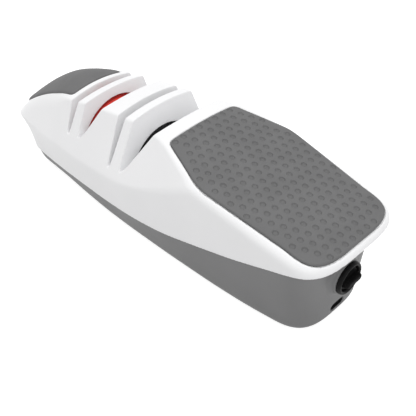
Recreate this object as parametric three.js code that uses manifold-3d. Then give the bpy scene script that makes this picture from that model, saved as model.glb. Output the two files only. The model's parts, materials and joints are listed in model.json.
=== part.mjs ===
// Cordless two-stage electric knife sharpener, in millimetres.
// +X points along the body to the end with the knob, +Z is up, and the part is mirrored in the plane y = 0.
// The origin is on the table, under the middle of the body.
import * as THREE from "three";
import { mergeVertices } from "three/addons/utils/BufferGeometryUtils.js";
import Module from "manifold-3d";

const wasm = await Module();
wasm.setup();

// Driving dimensions

const body = { length: 221.4, width: 68.8, height: 66, underside: 1.5 };
const shell = { roof: 3.6, wall: 2.2, lowerWall: 2.6, floor: 2.2, seam: 0.3, step: 0.7, overhang: 7,
  chamfer: 1.4 };
const lip = { thickness: 0.9, rise: 1.5 };
const clearance = 0.3;
const overrun = 2;

// How far each outline stops short of the body's near end and far end, how long its rounded ends are,
// and how square they are (a share of 2 is an ellipse).
const outline = {
  underside: { nearSetback: 9.5, nearRound: 20, nearSquareShare: 3.2,
    farSetback: 16.4, farRound: 13, farSquareShare: 2.6 },
  lowerEdge: { nearSetback: 8, nearRound: 20, nearSquareShare: 3.2,
    farSetback: 14.9, farRound: 13, farSquareShare: 2.6 },
  seam: { nearSetback: 0.4, nearRound: 19, nearSquareShare: 3.8,
    farSetback: 11.8, farRound: 14, farSquareShare: 3 },
  belt: { nearSetback: 0, nearRound: 19.5, nearSquareShare: 3.3,
    farSetback: 0, farRound: 15, farSquareShare: 3 },
  shoulder: { nearSetback: 1.3, nearRound: 18.5, nearSquareShare: 3.8,
    farSetback: 3.5, farRound: 13, farSquareShare: 3 },
};

// Shares of the half width and of the height along the body, each as [share of the length, share].
const undersideWidthShares = [[0, 0.64], [0.095, 0.683], [0.194, 0.741], [0.294, 0.765], [0.393, 0.767],
  [0.492, 0.759], [0.592, 0.735], [0.691, 0.683], [0.79, 0.61], [0.89, 0.553], [1, 0.48]];
const lowerEdgeWidthShares = [[0, 0.686], [0.095, 0.727], [0.194, 0.785], [0.294, 0.808], [0.393, 0.811],
  [0.492, 0.802], [0.592, 0.779], [0.691, 0.727], [0.79, 0.654], [0.89, 0.597], [1, 0.525]];
const seamWidthShares = [[0, 0.905], [0.095, 0.93], [0.194, 0.955], [0.294, 0.967], [0.393, 0.962],
  [0.492, 0.935], [0.592, 0.886], [0.691, 0.828], [0.79, 0.765], [0.89, 0.676], [1, 0.56]];
const seamHeightShares = [[0, 0.67], [0.025, 0.665], [0.095, 0.602], [0.194, 0.5], [0.294, 0.409],
  [0.393, 0.321], [0.492, 0.259], [0.592, 0.218], [0.691, 0.194], [0.79, 0.174], [0.89, 0.153],
  [1, 0.141]];
const beltWidthShares = [[0, 0.912], [0.095, 0.944], [0.194, 0.975], [0.294, 0.998], [0.343, 1],
  [0.393, 0.997], [0.492, 0.977], [0.592, 0.93], [0.691, 0.89], [0.79, 0.834], [0.89, 0.738],
  [1, 0.627]];
const beltHeightShares = [[0, 0.686], [0.095, 0.745], [0.194, 0.806], [0.294, 0.868], [0.308, 0.872],
  [0.323, 0.856], [0.363, 0.776], [0.423, 0.667], [0.492, 0.567], [0.542, 0.512], [0.592, 0.482],
  [0.691, 0.448], [0.79, 0.43], [0.89, 0.403], [1, 0.386]];
const shoulderWidthShares = [[0, 0.874], [0.095, 0.895], [0.194, 0.927], [0.284, 0.954], [0.299, 0.954],
  [0.323, 0.912], [0.363, 0.85], [0.423, 0.725], [0.472, 0.636], [0.542, 0.578], [0.691, 0.58],
  [0.79, 0.584], [0.89, 0.576], [1, 0.545]];
const shoulderHeightShares = [[0, 0.72], [0.095, 0.779], [0.194, 0.839], [0.294, 0.899], [0.393, 0.958],
  [0.429, 0.977], [0.462, 0.972], [0.492, 0.964], [0.542, 0.952], [0.592, 0.93], [0.641, 0.904],
  [0.691, 0.872], [0.741, 0.833], [0.768, 0.814], [0.795, 0.779], [0.827, 0.726], [0.863, 0.667],
  [0.903, 0.592], [0.944, 0.508], [0.971, 0.45], [1, 0.398]];
const crownShares = [[0, 0.012], [0.294, 0.015], [0.42, 0.023], [0.537, 0.033], [0.705, 0.03],
  [0.745, 0.035], [0.768, 0.045], [0.795, 0.085], [0.827, 0.118], [0.863, 0.126], [0.903, 0.115],
  [0.944, 0.089], [0.971, 0.064], [1, 0.045]];

// Places along the body, as shares of its length from the near end.
const placeShare = { padKink: 0.2986, padEnd: 0.4259, fineFin: 0.5438, stagePitch: 0.1603, middlePost: 0.4584,
  nearFoot: 0.14, farFoot: 0.777 };

// Grip pads. The hand pad starts behind the near end, and the nose pad lies between the last groove and
// the tip.
const handPad = { nearMargin: 2.8, startWidth: 56.8, kinkWidth: 63.6, endWidth: 43.6, nearRound: 18,
  nearSquareShare: 3.7, corner: 2.2, thickness: 1.7, proud: 0.3 };
const nosePad = { land: 3.4, farMargin: 5.6, startWidth: 33.2, endWidth: 32.6, farRound: 9, farSquareShare: 4,
  corner: 1.2, thickness: 1.7, proud: 0.3 };
const padCornerShare = { kinkBefore: 0.125, kinkAfter: 0.25, kinkReach: 0.5, endSwell: 0.7, endCut: 0.33 };
const padRowCount = 9;

// Knife slots: each stage has a wide slot on the near side of its fin and a narrow groove on the far side.
const stage = { fin: 5.4, heel: [3, 2.6], knee: [4.6, 4.8], grooveTop: 5.3, grooveFloor: 1.6, grooveLean: 2.1,
  grooveDrop: 1.6, backing: 1.6 };
const slotFloor = { fine: 38.2, coarse: 39.2 };
const slotLean = { fine: 29.4, coarse: 28.1 };
const drive = { shaftHeight: 31, shaft: 6, runningFit: 0.08, keyFit: 0.2, bushOuter: 10, bushInset: 0.15,
  couplingDiameter: 11, couplingLength: 8.6, spacerDiameter: 9, clipDiameter: 10, clipThickness: 0.8,
  shaftEnd: 2 };
const arch = { coarse: 43.6, fine: 41.2, side: 0.8 };
const wheel = { arch: 0.6, rim: 3.8, rimDepth: 2.4, rimSwell: 0.4, bevelDepth: 4.2, bevelSwell: 2.3,
  hubDepth: 8, thickness: 10 };

const frame = { plate: 2.2, halfWidth: 15, pedestal: 5, pedestalWidth: 16, bulkhead: 3, bulkheadHalf: 13.5,
  tail: 5.4, front: 12, lift: 0.3, screwInset: 4 };
const motor = { diameter: 24, length: 36, wall: 1, nose: 8, noseDepth: 1.6, capLength: 4, shaft: 3,
  shaftReach: 7, armature: 14, armatureLength: 20, magnet: 2.4, magnetLength: 22, magnetSweepShare: 0.36,
  screwPitch: 15, terminal: [1.2, 4, 5], terminalPitch: 14 };
const battery = { diameter: 14.2, frameGap: 10.2, pitch: 16.4, start: 33.5, cap: 5.5, capHeight: 1.2,
  tab: 0.4, tabWidth: 9, cradleWall: 2, cradleFloor: 1.2, cradleHeight: 8, shoulder: 0.8 };
const board = { start: 14.4, length: 16, width: 26, thickness: 1, lift: 0.3 };
const port = { width: 8.9, height: 3.2, length: 7.4, recess: 1.7, skin: 0.35, tongueWidth: 6.7,
  tongueThickness: 0.7, tongueLength: 4.6, margin: 0.4, back: 1.2 };

const knob = { height: 25.7, ring: 16.6, ringFront: 3.4, ringFlange: 2, bore: 12.8, spigot: 14.8,
  spigotLength: 5, web: 1, stemHole: 7, disc: 12.2, discFront: 4.7, discThickness: 1.8,
  bar: [2.6, 11.4, 3.2], spindle: 5, spindleReach: 9.1, socket: 1.6, seat: 17.8, seatBack: 6 };
const selector = { width: 14, depth: 9, bush: 9, bushLength: 1.6, bore: 5.6 };

const post = { diameter: 6.8, pilot: 2.4, depth: 9, counterbore: 5.4, headDepth: 2.4 };
const caseScrew = { head: 4.8, headHeight: 1.8, shank: 2.2, engage: 6, shankHole: 3 };
const nearPost = { along: 18.5, aside: 17.8, split: 24 };
const middlePost = { aside: 21.2, split: 16 };
const farPost = { aside: 11.5, split: 12, gap: 1.2 };
const smallScrew = { head: 4, headHeight: 1.3, shank: 1.8, length: 4.2, hole: 2.4 };
const foot = { diameter: 9, recess: 0.8, nearAside: 15, farAside: 9 };
const lead = { diameter: 1.3, boardInset: 2, rise: 1.6, drop: 8 };

const round = 32;
const smallRound = 16;

// Places worked out from the dimensions

const nearX = body.length / 2;
const height = drive.shaftHeight;
const along = (distance) => nearX - distance;
const halfWidth = body.width / 2;
const floorTop = body.underside + shell.floor;
const fineFin = body.length * placeShare.fineFin;
const fins = { fine: fineFin, coarse: fineFin + body.length * placeShare.stagePitch };
const handPadPlace = { ...handPad, start: handPad.nearMargin, kink: body.length * placeShare.padKink,
  end: body.length * placeShare.padEnd };
const nosePadPlace = { ...nosePad, start: fins.coarse + stage.fin + stage.grooveTop + nosePad.land,
  end: body.length - nosePad.farMargin };
const finMiddle = { fine: fins.fine + stage.fin / 2, coarse: fins.coarse + stage.fin / 2 };
const wheelRadius = { fine: arch.fine / 2 - wheel.arch, coarse: arch.coarse / 2 - wheel.arch };
const wheelHalf = wheel.thickness / 2;
const frontBearing = (finMiddle.fine + finMiddle.coarse) / 2;
const rearBearing = finMiddle.coarse + wheelHalf + clearance * 2 + frame.front - frame.pedestal / 2;
const couplingEnd = finMiddle.fine - wheelHalf - arch.side - clearance;
const couplingStart = couplingEnd - drive.couplingLength;
const bulkheadStart = couplingStart - clearance - frame.bulkhead;
const motorFront = bulkheadStart - clearance / 2;
const motorRear = motorFront - motor.length;
const frameStart = bulkheadStart - frame.tail;
const frameEnd = rearBearing + frame.pedestal / 2 + frame.tail;
const farPostAlong = frameEnd + post.diameter / 2 + farPost.gap;
const shaftEnd = rearBearing + frame.pedestal / 2 + clearance + drive.clipThickness + drive.shaftEnd;
const framePlateTop = floorTop + frame.lift + frame.plate;
const boardTop = floorTop + board.lift + board.thickness;
const portHeight = boardTop + clearance + port.height / 2;
const cellHeight = floorTop + clearance + battery.cradleFloor + battery.diameter / 2;
const postList = [
  { ...nearPost, name: "near" },
  { ...middlePost, along: body.length * placeShare.middlePost, name: "middle" },
  { along: farPostAlong, aside: farPost.aside, split: farPost.split, name: "far" },
];
const footList = [
  { along: body.length * placeShare.nearFoot, aside: foot.nearAside, name: "near" },
  { along: body.length * placeShare.farFoot, aside: foot.farAside, name: "far" },
];
const sides = [{ sign: -1, name: "left" }, { sign: 1, name: "right" }];

// Geometry helpers

function solidOf(geometry) {
  const plain = geometry.clone();
  plain.deleteAttribute("normal");
  plain.deleteAttribute("uv");
  const merged = mergeVertices(plain, 1e-4);
  const make = (triVerts) => new wasm.Manifold(new wasm.Mesh({
    numProp: 3,
    vertProperties: merged.attributes.position.array,
    triVerts,
  }));
  const triangles = new Uint32Array(merged.index.array);
  const solid = make(triangles);
  return solid.volume() < 0 ? make(triangles.reverse()) : solid;
}

function geometryOf(solid) {
  const mesh = solid.getMesh();
  const geometry = new THREE.BufferGeometry();
  geometry.setAttribute("position", new THREE.BufferAttribute(new Float32Array(mesh.vertProperties), 3));
  geometry.setIndex(new THREE.BufferAttribute(new Uint32Array(mesh.triVerts), 1));
  geometry.computeVertexNormals();
  return geometry;
}

const join = (first, ...rest) => rest.reduce((sum, next) => sum.add(next), first);
const cut = (first, ...rest) => rest.reduce((left, next) => left.subtract(next), first);

// A box from its lowest to its highest corner.
function block(low, high) {
  const size = high.map((value, i) => value - low[i]);
  const geometry = new THREE.BoxGeometry(...size);
  geometry.translate(...low.map((value, i) => value + size[i] / 2));
  return solidOf(geometry);
}

// A body turned about a line along X: points are [radius, distance from the near end].
function turned(points, aside, height, segments = round) {
  const profile = points.map(([radius, distance]) => new THREE.Vector2(radius, distance));
  const geometry = new THREE.LatheGeometry([...profile, profile[0]], segments);
  geometry.rotateZ(Math.PI / 2);
  geometry.translate(nearX, aside, height);
  return solidOf(geometry);
}

const rod = (radius, start, end, aside, height, segments) =>
  turned([[0, start], [radius, start], [radius, end], [0, end]], aside, height, segments);
const sleeve = (inner, outer, start, end, aside, height, segments) =>
  turned([[inner, start], [outer, start], [outer, end], [inner, end]], aside, height, segments);

// An upright cylinder.
function upright(radius, distance, aside, low, high, segments = smallRound) {
  const geometry = new THREE.CylinderGeometry(radius, radius, high - low, segments);
  geometry.rotateX(Math.PI / 2);
  geometry.translate(along(distance), aside, (low + high) / 2);
  return solidOf(geometry);
}

// A side view, [distance from the near end, height], carried across the whole width.
function across(points, reach) {
  const corners = points.map(([distance, level]) => new THREE.Vector2(along(distance), level));
  const shape = new THREE.Shape(corners);
  const geometry = new THREE.ExtrudeGeometry(shape, { depth: 2 * reach, bevelEnabled: false });
  geometry.rotateX(Math.PI / 2);
  geometry.translate(0, reach, 0);
  return solidOf(geometry);
}

// A flat slab of a rounded rectangle seen along X.
function roundedBar(width, height, start, end, aside, middle) {
  const radius = Math.min(width, height) / 2;
  const shape = new THREE.Shape();
  const [right, top] = [width / 2 - radius, height / 2 - radius];
  shape.absarc(right, top, radius, 0, Math.PI / 2, false);
  shape.absarc(-right, top, radius, Math.PI / 2, Math.PI, false);
  shape.absarc(-right, -top, radius, Math.PI, 1.5 * Math.PI, false);
  shape.absarc(right, -top, radius, 1.5 * Math.PI, 2 * Math.PI, false);
  const settings = { depth: end - start, bevelEnabled: false, curveSegments: 6 };
  const geometry = new THREE.ExtrudeGeometry(shape, settings);
  geometry.rotateX(Math.PI / 2);
  geometry.rotateZ(Math.PI / 2);
  geometry.translate(along(end), aside, middle);
  return solidOf(geometry);
}

// The body's lines: a smooth curve through a table of shares, with no overshoot.
function follow(table, share) {
  const last = table.length - 1;
  const at = Math.min(Math.max(share, table[0][0]), table[last][0]);
  const slopes = table.slice(1).map(([s, v], i) => (v - table[i][1]) / (s - table[i][0]));
  const tangent = (i) => {
    if (i === 0) return slopes[0];
    if (i === last) return slopes[last - 1];
    const [before, after] = [slopes[i - 1], slopes[i]];
    return before * after <= 0 ? 0 : (2 * before * after) / (before + after);
  };
  const i = Math.min(table.findIndex(([s], k) => k < last && at <= table[k + 1][0]), last - 1);
  const step = table[i + 1][0] - table[i][0];
  const t = (at - table[i][0]) / step;
  const [start, end] = [table[i][1], table[i + 1][1]];
  const bend = (1 - t) * (1 - t) * (start + t * (2 * start + step * tangent(i)));
  return bend + t * t * (end + (1 - t) * (2 * end - step * tangent(i + 1)));
}

const widthAt = (shares, distance) => halfWidth * follow(shares, distance / body.length);
const heightAt = (shares, distance) => body.height * follow(shares, distance / body.length);
const shoulderHeight = (distance) => heightAt(shoulderHeightShares, distance);
const shoulderWidth = (distance) => widthAt(shoulderWidthShares, distance);
const crown = (distance) => body.height * follow(crownShares, distance / body.length);

// Height of the top surface above a point.
function topHeight(distance, aside) {
  const share = aside / shoulderWidth(distance);
  return shoulderHeight(distance) + crown(distance) * (1 - share * share);
}

// Half of a plan outline from the near end to the far end, as [distance from the near end, half width].
const roundSteps = 8;
const sideSteps = 15;
function halfOutline(shape, shares, inset = 0) {
  const start = shape.nearSetback;
  const end = body.length - shape.farSetback;
  const points = [];
  for (let i = 0; i <= roundSteps; i += 1) {
    const angle = (i / roundSteps) * (Math.PI / 2);
    const distance = start + shape.nearRound * (1 - Math.cos(angle) ** (2 / shape.nearSquareShare));
    points.push([distance, widthAt(shares, distance) * Math.sin(angle) ** (2 / shape.nearSquareShare)]);
  }
  const [from, to] = [start + shape.nearRound, end - shape.farRound];
  for (let i = 1; i < sideSteps; i += 1) {
    const distance = from + ((to - from) * i) / sideSteps;
    points.push([distance, widthAt(shares, distance)]);
  }
  for (let i = roundSteps; i >= 0; i -= 1) {
    const angle = (i / roundSteps) * (Math.PI / 2);
    const distance = end - shape.farRound * (1 - Math.cos(angle) ** (2 / shape.farSquareShare));
    points.push([distance, widthAt(shares, distance) * Math.sin(angle) ** (2 / shape.farSquareShare)]);
  }
  points[0][1] = 0;
  points[points.length - 1][1] = 0;
  return inset ? moveInward(points, inset) : points;
}

function moveInward(points, inset) {
  const last = points.length - 1;
  return points.map(([distance, width], i) => {
    if (i === 0) return [distance + inset, 0];
    if (i === last) return [distance - inset, 0];
    const before = points[i - 1];
    const after = points[i + 1];
    const length = Math.hypot(after[0] - before[0], after[1] - before[1]);
    const slope = (after[1] - before[1]) / length;
    const run = (after[0] - before[0]) / length;
    return [distance + slope * inset, Math.max(width - run * inset, 0)];
  });
}

// Rows of points across the body, one for each point of a half outline; a pointed end is a single point.
function rowsOver(half, heightOf, columns) {
  return half.map(([distance, width]) => {
    if (width === 0) return [[along(distance), 0, heightOf(distance, 0)]];
    return Array.from({ length: columns + 1 }, (_, i) => {
      const aside = width * ((2 * i) / columns - 1);
      return [along(distance), aside, heightOf(distance, aside)];
    });
  });
}

function rimOf(rows) {
  const last = rows.length - 1;
  const right = rows.slice(1, last).map((row) => row[row.length - 1]);
  const left = rows.slice(1, last).map((row) => row[0]).reverse();
  return [...rows[0], ...right, ...[...rows[last]].reverse(), ...left];
}

// A closed solid from rows of points at the bottom and the top and from rims between them.
function stacked(bottom, middles, top) {
  const triangles = [];
  const face = (a, b, c) => triangles.push(...a, ...b, ...c);
  const cap = (rows, flip) => {
    const put = flip ? (a, b, c) => face(a, c, b) : face;
    for (let r = 0; r + 1 < rows.length; r += 1) {
      const [near, far] = [rows[r], rows[r + 1]];
      const steps = Math.max(near.length, far.length) - 1;
      for (let i = 0; i < steps; i += 1) {
        if (near.length > 1) put(near[i], near[i + 1], far[far.length > 1 ? i + 1 : 0]);
        if (far.length > 1) put(near[near.length > 1 ? i : 0], far[i + 1], far[i]);
      }
    }
  };
  cap(top, false);
  cap(bottom, true);
  const rims = [rimOf(bottom), ...middles, rimOf(top)];
  for (let k = 0; k + 1 < rims.length; k += 1) {
    const [low, high] = [rims[k], rims[k + 1]];
    for (let i = 0; i < low.length; i += 1) {
      const next = (i + 1) % low.length;
      face(low[i], low[next], high[next]);
      face(low[i], high[next], high[i]);
    }
  }
  const geometry = new THREE.BufferGeometry();
  geometry.setAttribute("position", new THREE.BufferAttribute(new Float32Array(triangles), 3));
  return solidOf(geometry);
}

// Housings

const topColumns = 8;
const seamHeight = (distance) => heightAt(seamHeightShares, distance);
const beltHeight = (distance) => heightAt(beltHeightShares, distance);

function upperForm() {
  const bottom = rowsOver(halfOutline(outline.seam, seamWidthShares), seamHeight, 2);
  const belt = rowsOver(halfOutline(outline.belt, beltWidthShares), beltHeight, 2);
  const top = rowsOver(halfOutline(outline.shoulder, shoulderWidthShares), topHeight, topColumns);
  return stacked(thin(bottom), [rimOf(thin(belt))], top);
}

// Keeps only the two ends of each row, so that rims of rows with different columns match.
function thin(rows) {
  return rows.map((row) => (row.length > 1 ? [row[0], row[row.length - 1]] : row));
}

// An outline whose near end stands back behind the overhang at the knob's end.
const behindOverhang = (shape) => ({ ...shape, nearSetback: outline.seam.nearSetback + shell.overhang,
  nearRound: outline.seam.nearRound, nearSquareShare: outline.seam.nearSquareShare });

// The space inside the upper housing, a wall in from its sides and a roof down from its top.
function upperInside(wall, roof, lowHeight) {
  const ceiling = (distance, aside) => topHeight(distance, aside) - roof;
  const belt = (distance) => Math.min(beltHeight(distance), shoulderHeight(distance) - roof) - clearance;
  const bottom = rowsOver(halfOutline(behindOverhang(outline.seam), seamWidthShares, wall), lowHeight, 2);
  const middle = rowsOver(halfOutline(behindOverhang(outline.belt), beltWidthShares, wall), belt, 2);
  const shoulder = halfOutline(behindOverhang(outline.shoulder), shoulderWidthShares, wall);
  const top = rowsOver(shoulder, ceiling, topColumns);
  return stacked(thin(bottom), [rimOf(thin(middle))], top);
}

// The slot's side view, from the foot of the fin up its sloping near wall; grow widens it.
function slotProfile(key, grow) {
  const [fin, floor, top] = [fins[key], slotFloor[key], body.height + overrun];
  const [heelRun, heelRise] = stage.heel;
  const [kneeRun, kneeRise] = stage.knee;
  const kneeHeight = floor + kneeRise;
  const wallRun = (top - kneeHeight) * Math.tan(THREE.MathUtils.degToRad(slotLean[key]));
  return [
    [fin - kneeRun - wallRun - grow, top],
    [fin - kneeRun - grow, kneeHeight - grow / 2],
    [fin - heelRun - grow / 2, floor + heelRise - grow],
    [fin, floor - grow],
  ];
}

function grooveProfile(key, grow) {
  const [fin, top] = [fins[key], body.height + overrun];
  const crest = shoulderHeight(fin + stage.fin);
  const floor = slotFloor[key] - stage.grooveDrop / 2;
  const rise = (top - floor) / (crest - floor);
  const nearFoot = fin + stage.fin + stage.grooveLean;
  const farFoot = nearFoot + stage.grooveFloor;
  return [
    [farFoot + grow, floor - grow],
    [farFoot + grow + (stage.grooveTop - stage.grooveLean - stage.grooveFloor) * rise, top],
    [nearFoot - stage.grooveLean * rise, top],
    [nearFoot, floor],
    [(nearFoot + farFoot) / 2, floor - stage.grooveDrop / 2],
  ];
}

function wideSlot(key) {
  return across([...slotProfile(key, 0), [fins[key], body.height + overrun]], body.width);
}

function narrowGroove(key) {
  const [foot, farTop, nearTop, nearFoot, bottom] = grooveProfile(key, 0);
  return across([foot, farTop, nearTop, nearFoot, bottom], body.width);
}

// The solid plastic that backs a stage's two slots, so that they don't open into the body.
function slotBacking(key) {
  const near = slotProfile(key, stage.backing);
  const [foot, farTop] = grooveProfile(key, stage.backing);
  return across([...near, foot, farTop], body.width);
}

function wheelWell(key) {
  const half = wheelHalf + arch.side;
  return rod(arch[key] / 2, finMiddle[key] - half, finMiddle[key] + half, 0, height, 2 * round);
}

function padOutline(pad, margin) {
  const points = [];
  if (pad.kink) {
    const nearEnd = pad.start - margin;
    const roundLength = pad.nearRound;
    for (let i = 0; i <= roundSteps; i += 1) {
      const angle = (i / roundSteps) * (Math.PI / 2);
      const power = 2 / pad.nearSquareShare;
      const distance = nearEnd + (roundLength + margin) * (1 - Math.cos(angle) ** power);
      points.push([distance, i === 0 ? 0 : (pad.startWidth / 2 + margin) * Math.sin(angle) ** power]);
    }
    const share = padCornerShare;
    const kinkAside = pad.kinkWidth / 2 + margin;
    const endAside = pad.endWidth / 2 + margin;
    points.push([pad.kink - pad.corner, kinkAside - pad.corner * share.kinkBefore]);
    points.push([pad.kink + pad.corner * share.kinkReach, kinkAside - pad.corner * share.kinkAfter]);
    points.push([pad.end - pad.corner, endAside + pad.corner * share.endSwell]);
    points.push([pad.end - pad.corner * share.kinkAfter, endAside - pad.corner * share.endCut]);
    points.push([pad.end + margin, pad.endWidth / 2 - pad.corner]);
    return points;
  }
  points.push([pad.start - margin, pad.startWidth / 2 - pad.corner]);
  points.push([pad.start + pad.corner * padCornerShare.kinkReach,
    pad.startWidth / 2 - pad.corner * padCornerShare.kinkBefore + margin]);
  points.push([(pad.start + pad.end - pad.farRound) / 2, (pad.startWidth + pad.endWidth) / 4 + margin]);
  for (let i = roundSteps; i >= 0; i -= 1) {
    const angle = (i / roundSteps) * (Math.PI / 2);
    const power = 2 / pad.farSquareShare;
    const distance = pad.end + margin - (pad.farRound + margin) * (1 - Math.cos(angle) ** power);
    points.push([distance, i === 0 ? 0 : (pad.endWidth / 2 + margin) * Math.sin(angle) ** power]);
  }
  return points;
}

// The same outline with rows added, so that the pad follows the top surface between its corners.
function padRows(pad, margin, heightOf) {
  const points = padOutline(pad, margin);
  const spacing = (pad.end - pad.start) / padRowCount;
  const dense = points.flatMap((point, i) => {
    if (i === 0) return [point];
    const before = points[i - 1];
    const count = Math.max(1, Math.round((point[0] - before[0]) / spacing));
    return Array.from({ length: count }, (_, k) => {
      const share = (k + 1) / count;
      return [before[0] + (point[0] - before[0]) * share, before[1] + (point[1] - before[1]) * share];
    });
  });
  return rowsOver(dense, heightOf, topColumns);
}

function padSolid(pad) {
  const top = (distance, aside) => topHeight(distance, aside) + pad.proud;
  const bottom = (distance, aside) => top(distance, aside) - pad.thickness;
  return stacked(padRows(pad, 0, bottom), [], padRows(pad, 0, top));
}

function padPocket(pad) {
  const depth = pad.thickness - pad.proud + clearance;
  const bottom = (distance, aside) => topHeight(distance, aside) - depth;
  const top = (distance, aside) => topHeight(distance, aside) + overrun;
  return stacked(padRows(pad, clearance, bottom), [], padRows(pad, clearance, top));
}

const bothSidesOf = (places, make) => places.flatMap((place) => sides.map(({ sign }) => make(place, sign)));

function upperPost(place, sign) {
  return upright(post.diameter / 2, place.along, sign * place.aside, place.split + clearance, body.height);
}

function upperPilot(place, sign) {
  const low = place.split - overrun;
  return upright(post.pilot / 2, place.along, sign * place.aside, low, place.split + post.depth, 12);
}

function upperHousing() {
  const room = upperInside(shell.wall, shell.roof, (distance) => seamHeight(distance) - overrun);
  const cavity = cut(room, slotBacking("fine"), slotBacking("coarse"));
  const underRoof = upperInside(shell.wall / 2, shell.roof - shell.wall / 2, () => body.underside);
  const posts = bothSidesOf(postList, upperPost).map((whole) => whole.intersect(underRoof));
  const pilots = bothSidesOf(postList, upperPilot);
  const slots = Object.keys(fins).flatMap((key) => [wideSlot(key), narrowGroove(key)]);
  return cut(join(cut(upperForm(), cavity), ...posts), ...slots, wheelWell("fine"), wheelWell("coarse"),
    padPocket(handPadPlace), padPocket(nosePadPlace), ...pilots);
}

// The lower housing's outside, stepped in at the seam to a low lip that locates the upper housing.
function lowerForm() {
  const seat = (distance) => seamHeight(distance) - shell.seam;
  const lipTop = (distance) => seamHeight(distance) + lip.rise;
  const lipInset = shell.wall + clearance;
  const bottom = rowsOver(halfOutline(outline.underside, undersideWidthShares), () => body.underside, 2);
  const edgeHeight = () => body.underside + shell.chamfer;
  const edge = rowsOver(halfOutline(outline.lowerEdge, lowerEdgeWidthShares), edgeHeight, 2);
  const rim = rimOf(thin(rowsOver(lowerSeamOutline(shell.step), seat, 2)));
  const lipFoot = rimOf(thin(rowsOver(lowerSeamOutline(lipInset), seat, 2)));
  const top = rowsOver(lowerSeamOutline(lipInset), lipTop, 2);
  return stacked(thin(bottom), [rimOf(thin(edge)), rim, lipFoot], thin(top));
}

// The lower housing's top edge lies inside the seam, and further in at the knob's end.
function lowerSeamOutline(inset) {
  return halfOutline(behindOverhang(outline.seam), seamWidthShares, inset);
}

function lowerCavity() {
  const inset = shell.wall + clearance + lip.thickness;
  const floorOutline = halfOutline(outline.underside, undersideWidthShares, shell.lowerWall);
  const bottom = rowsOver(floorOutline, () => floorTop, 2);
  const seatHeight = (distance) => seamHeight(distance) - shell.seam;
  const seat = rimOf(thin(rowsOver(lowerSeamOutline(inset), seatHeight, 2)));
  const top = rowsOver(lowerSeamOutline(inset), (distance) => seamHeight(distance) + overrun, 2);
  return stacked(thin(bottom), [seat], thin(top));
}

const lowerBoss = (place, sign) =>
  upright(post.diameter / 2, place.along, sign * place.aside, body.underside + clearance, place.split);
const shankHole = (place, sign) =>
  upright(caseScrew.shankHole / 2, place.along, sign * place.aside, 0, place.split + overrun, 12);
const headHole = (place, sign) =>
  upright(post.counterbore / 2, place.along, sign * place.aside, 0, body.underside + post.headDepth);
const footRecess = (place, sign) => {
  const top = body.underside + foot.recess;
  return upright(foot.diameter / 2 + clearance, place.along, sign * place.aside, 0, top, round);
};

function lowerHousing() {
  const seatFront = knob.ringFront + knob.ringFlange + clearance;
  const holeEnd = knob.seatBack + 2 * nearWallDepth();
  const seat = rod(knob.seat / 2, seatFront, knob.seatBack + nearWallDepth(), 0, knob.height);
  const knobHole = rod(knob.spigot / 2 + clearance, 0, holeEnd, 0, knob.height);
  const dish = rod(knob.seat / 2, 0, seatFront, 0, knob.height);
  const portHole = roundedBar(port.width + 2 * port.margin, port.height + 2 * port.margin, 0,
    portStart + port.length, 0, portHeight);
  return cut(join(cut(lowerForm(), lowerCavity()), seat, ...bothSidesOf(postList, lowerBoss)),
    knobHole, dish, portHole, ...bothSidesOf(postList, shankHole), ...bothSidesOf(postList, headHole),
    ...bothSidesOf(footList, footRecess));
}

const nearWallDepth = () => shell.lowerWall + shell.step;

// Knob, bezel and switch

function switchBezel() {
  const front = knob.ringFront;
  const back = front + knob.ringFlange;
  const end = back + knob.spigotLength;
  return turned([
    [knob.bore / 2 + clearance, front + clearance],
    [knob.bore / 2 + clearance * 2, front],
    [knob.ring / 2 - clearance, front],
    [knob.ring / 2, front + clearance],
    [knob.ring / 2, back],
    [knob.spigot / 2, back],
    [knob.spigot / 2, end],
    [knob.stemHole / 2, end],
    [knob.stemHole / 2, end - knob.web],
    [knob.bore / 2, end - knob.web],
  ], 0, knob.height);
}

const knobBack = knob.discFront + knob.discThickness;

function switchKnob() {
  const [barDepth, barLength, barHeight] = knob.bar;
  const disc = rod(knob.disc / 2, knob.discFront, knobBack, 0, knob.height);
  const low = [along(knob.discFront + clearance), -barLength / 2, knob.height - barHeight / 2];
  const high = [along(knob.discFront - barDepth), barLength / 2, knob.height + barHeight / 2];
  const stemRadius = knob.stemHole / 2 - clearance;
  const stem = rod(stemRadius, knobBack - clearance, knobBack + knob.socket, 0, knob.height);
  const hole = rod(knob.spindle / 2 + drive.keyFit, knobBack - knob.socket / 2, knobBack + 2 * knob.socket, 0,
    knob.height, smallRound);
  return cut(join(disc, block(low, high), stem), hole);
}

const selectorFront = knob.ringFront + knob.ringFlange + knob.spigotLength + clearance;

function switchSpindle() {
  const start = knobBack - knob.socket / 2 + drive.keyFit;
  return rod(knob.spindle / 2, start, start + knob.spindleReach, 0, knob.height, smallRound);
}

function rotarySwitch() {
  const start = selectorFront + selector.bushLength;
  const half = selector.width / 2;
  const low = [along(start + selector.depth), -half, knob.height - half];
  const box = block(low, [along(start), half, knob.height + half]);
  const bush = rod(selector.bush / 2, selectorFront, start + clearance, 0, knob.height);
  const boreEnd = knobBack - knob.socket / 2 + drive.keyFit + knob.spindleReach + clearance;
  const bore = rod(selector.bore / 2, selectorFront - overrun, boreEnd, 0, knob.height, smallRound);
  return cut(join(box, bush), bore);
}

// Charging socket and board

const portStart = outline.lowerEdge.nearSetback + port.recess - shell.step * 2;

function chargeSocket() {
  const outer = roundedBar(port.width, port.height, portStart, portStart + port.length, 0, portHeight);
  const inner = roundedBar(port.width - 2 * port.skin, port.height - 2 * port.skin, portStart - overrun,
    portStart + port.length - port.back, 0, portHeight);
  return cut(outer, inner);
}

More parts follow.
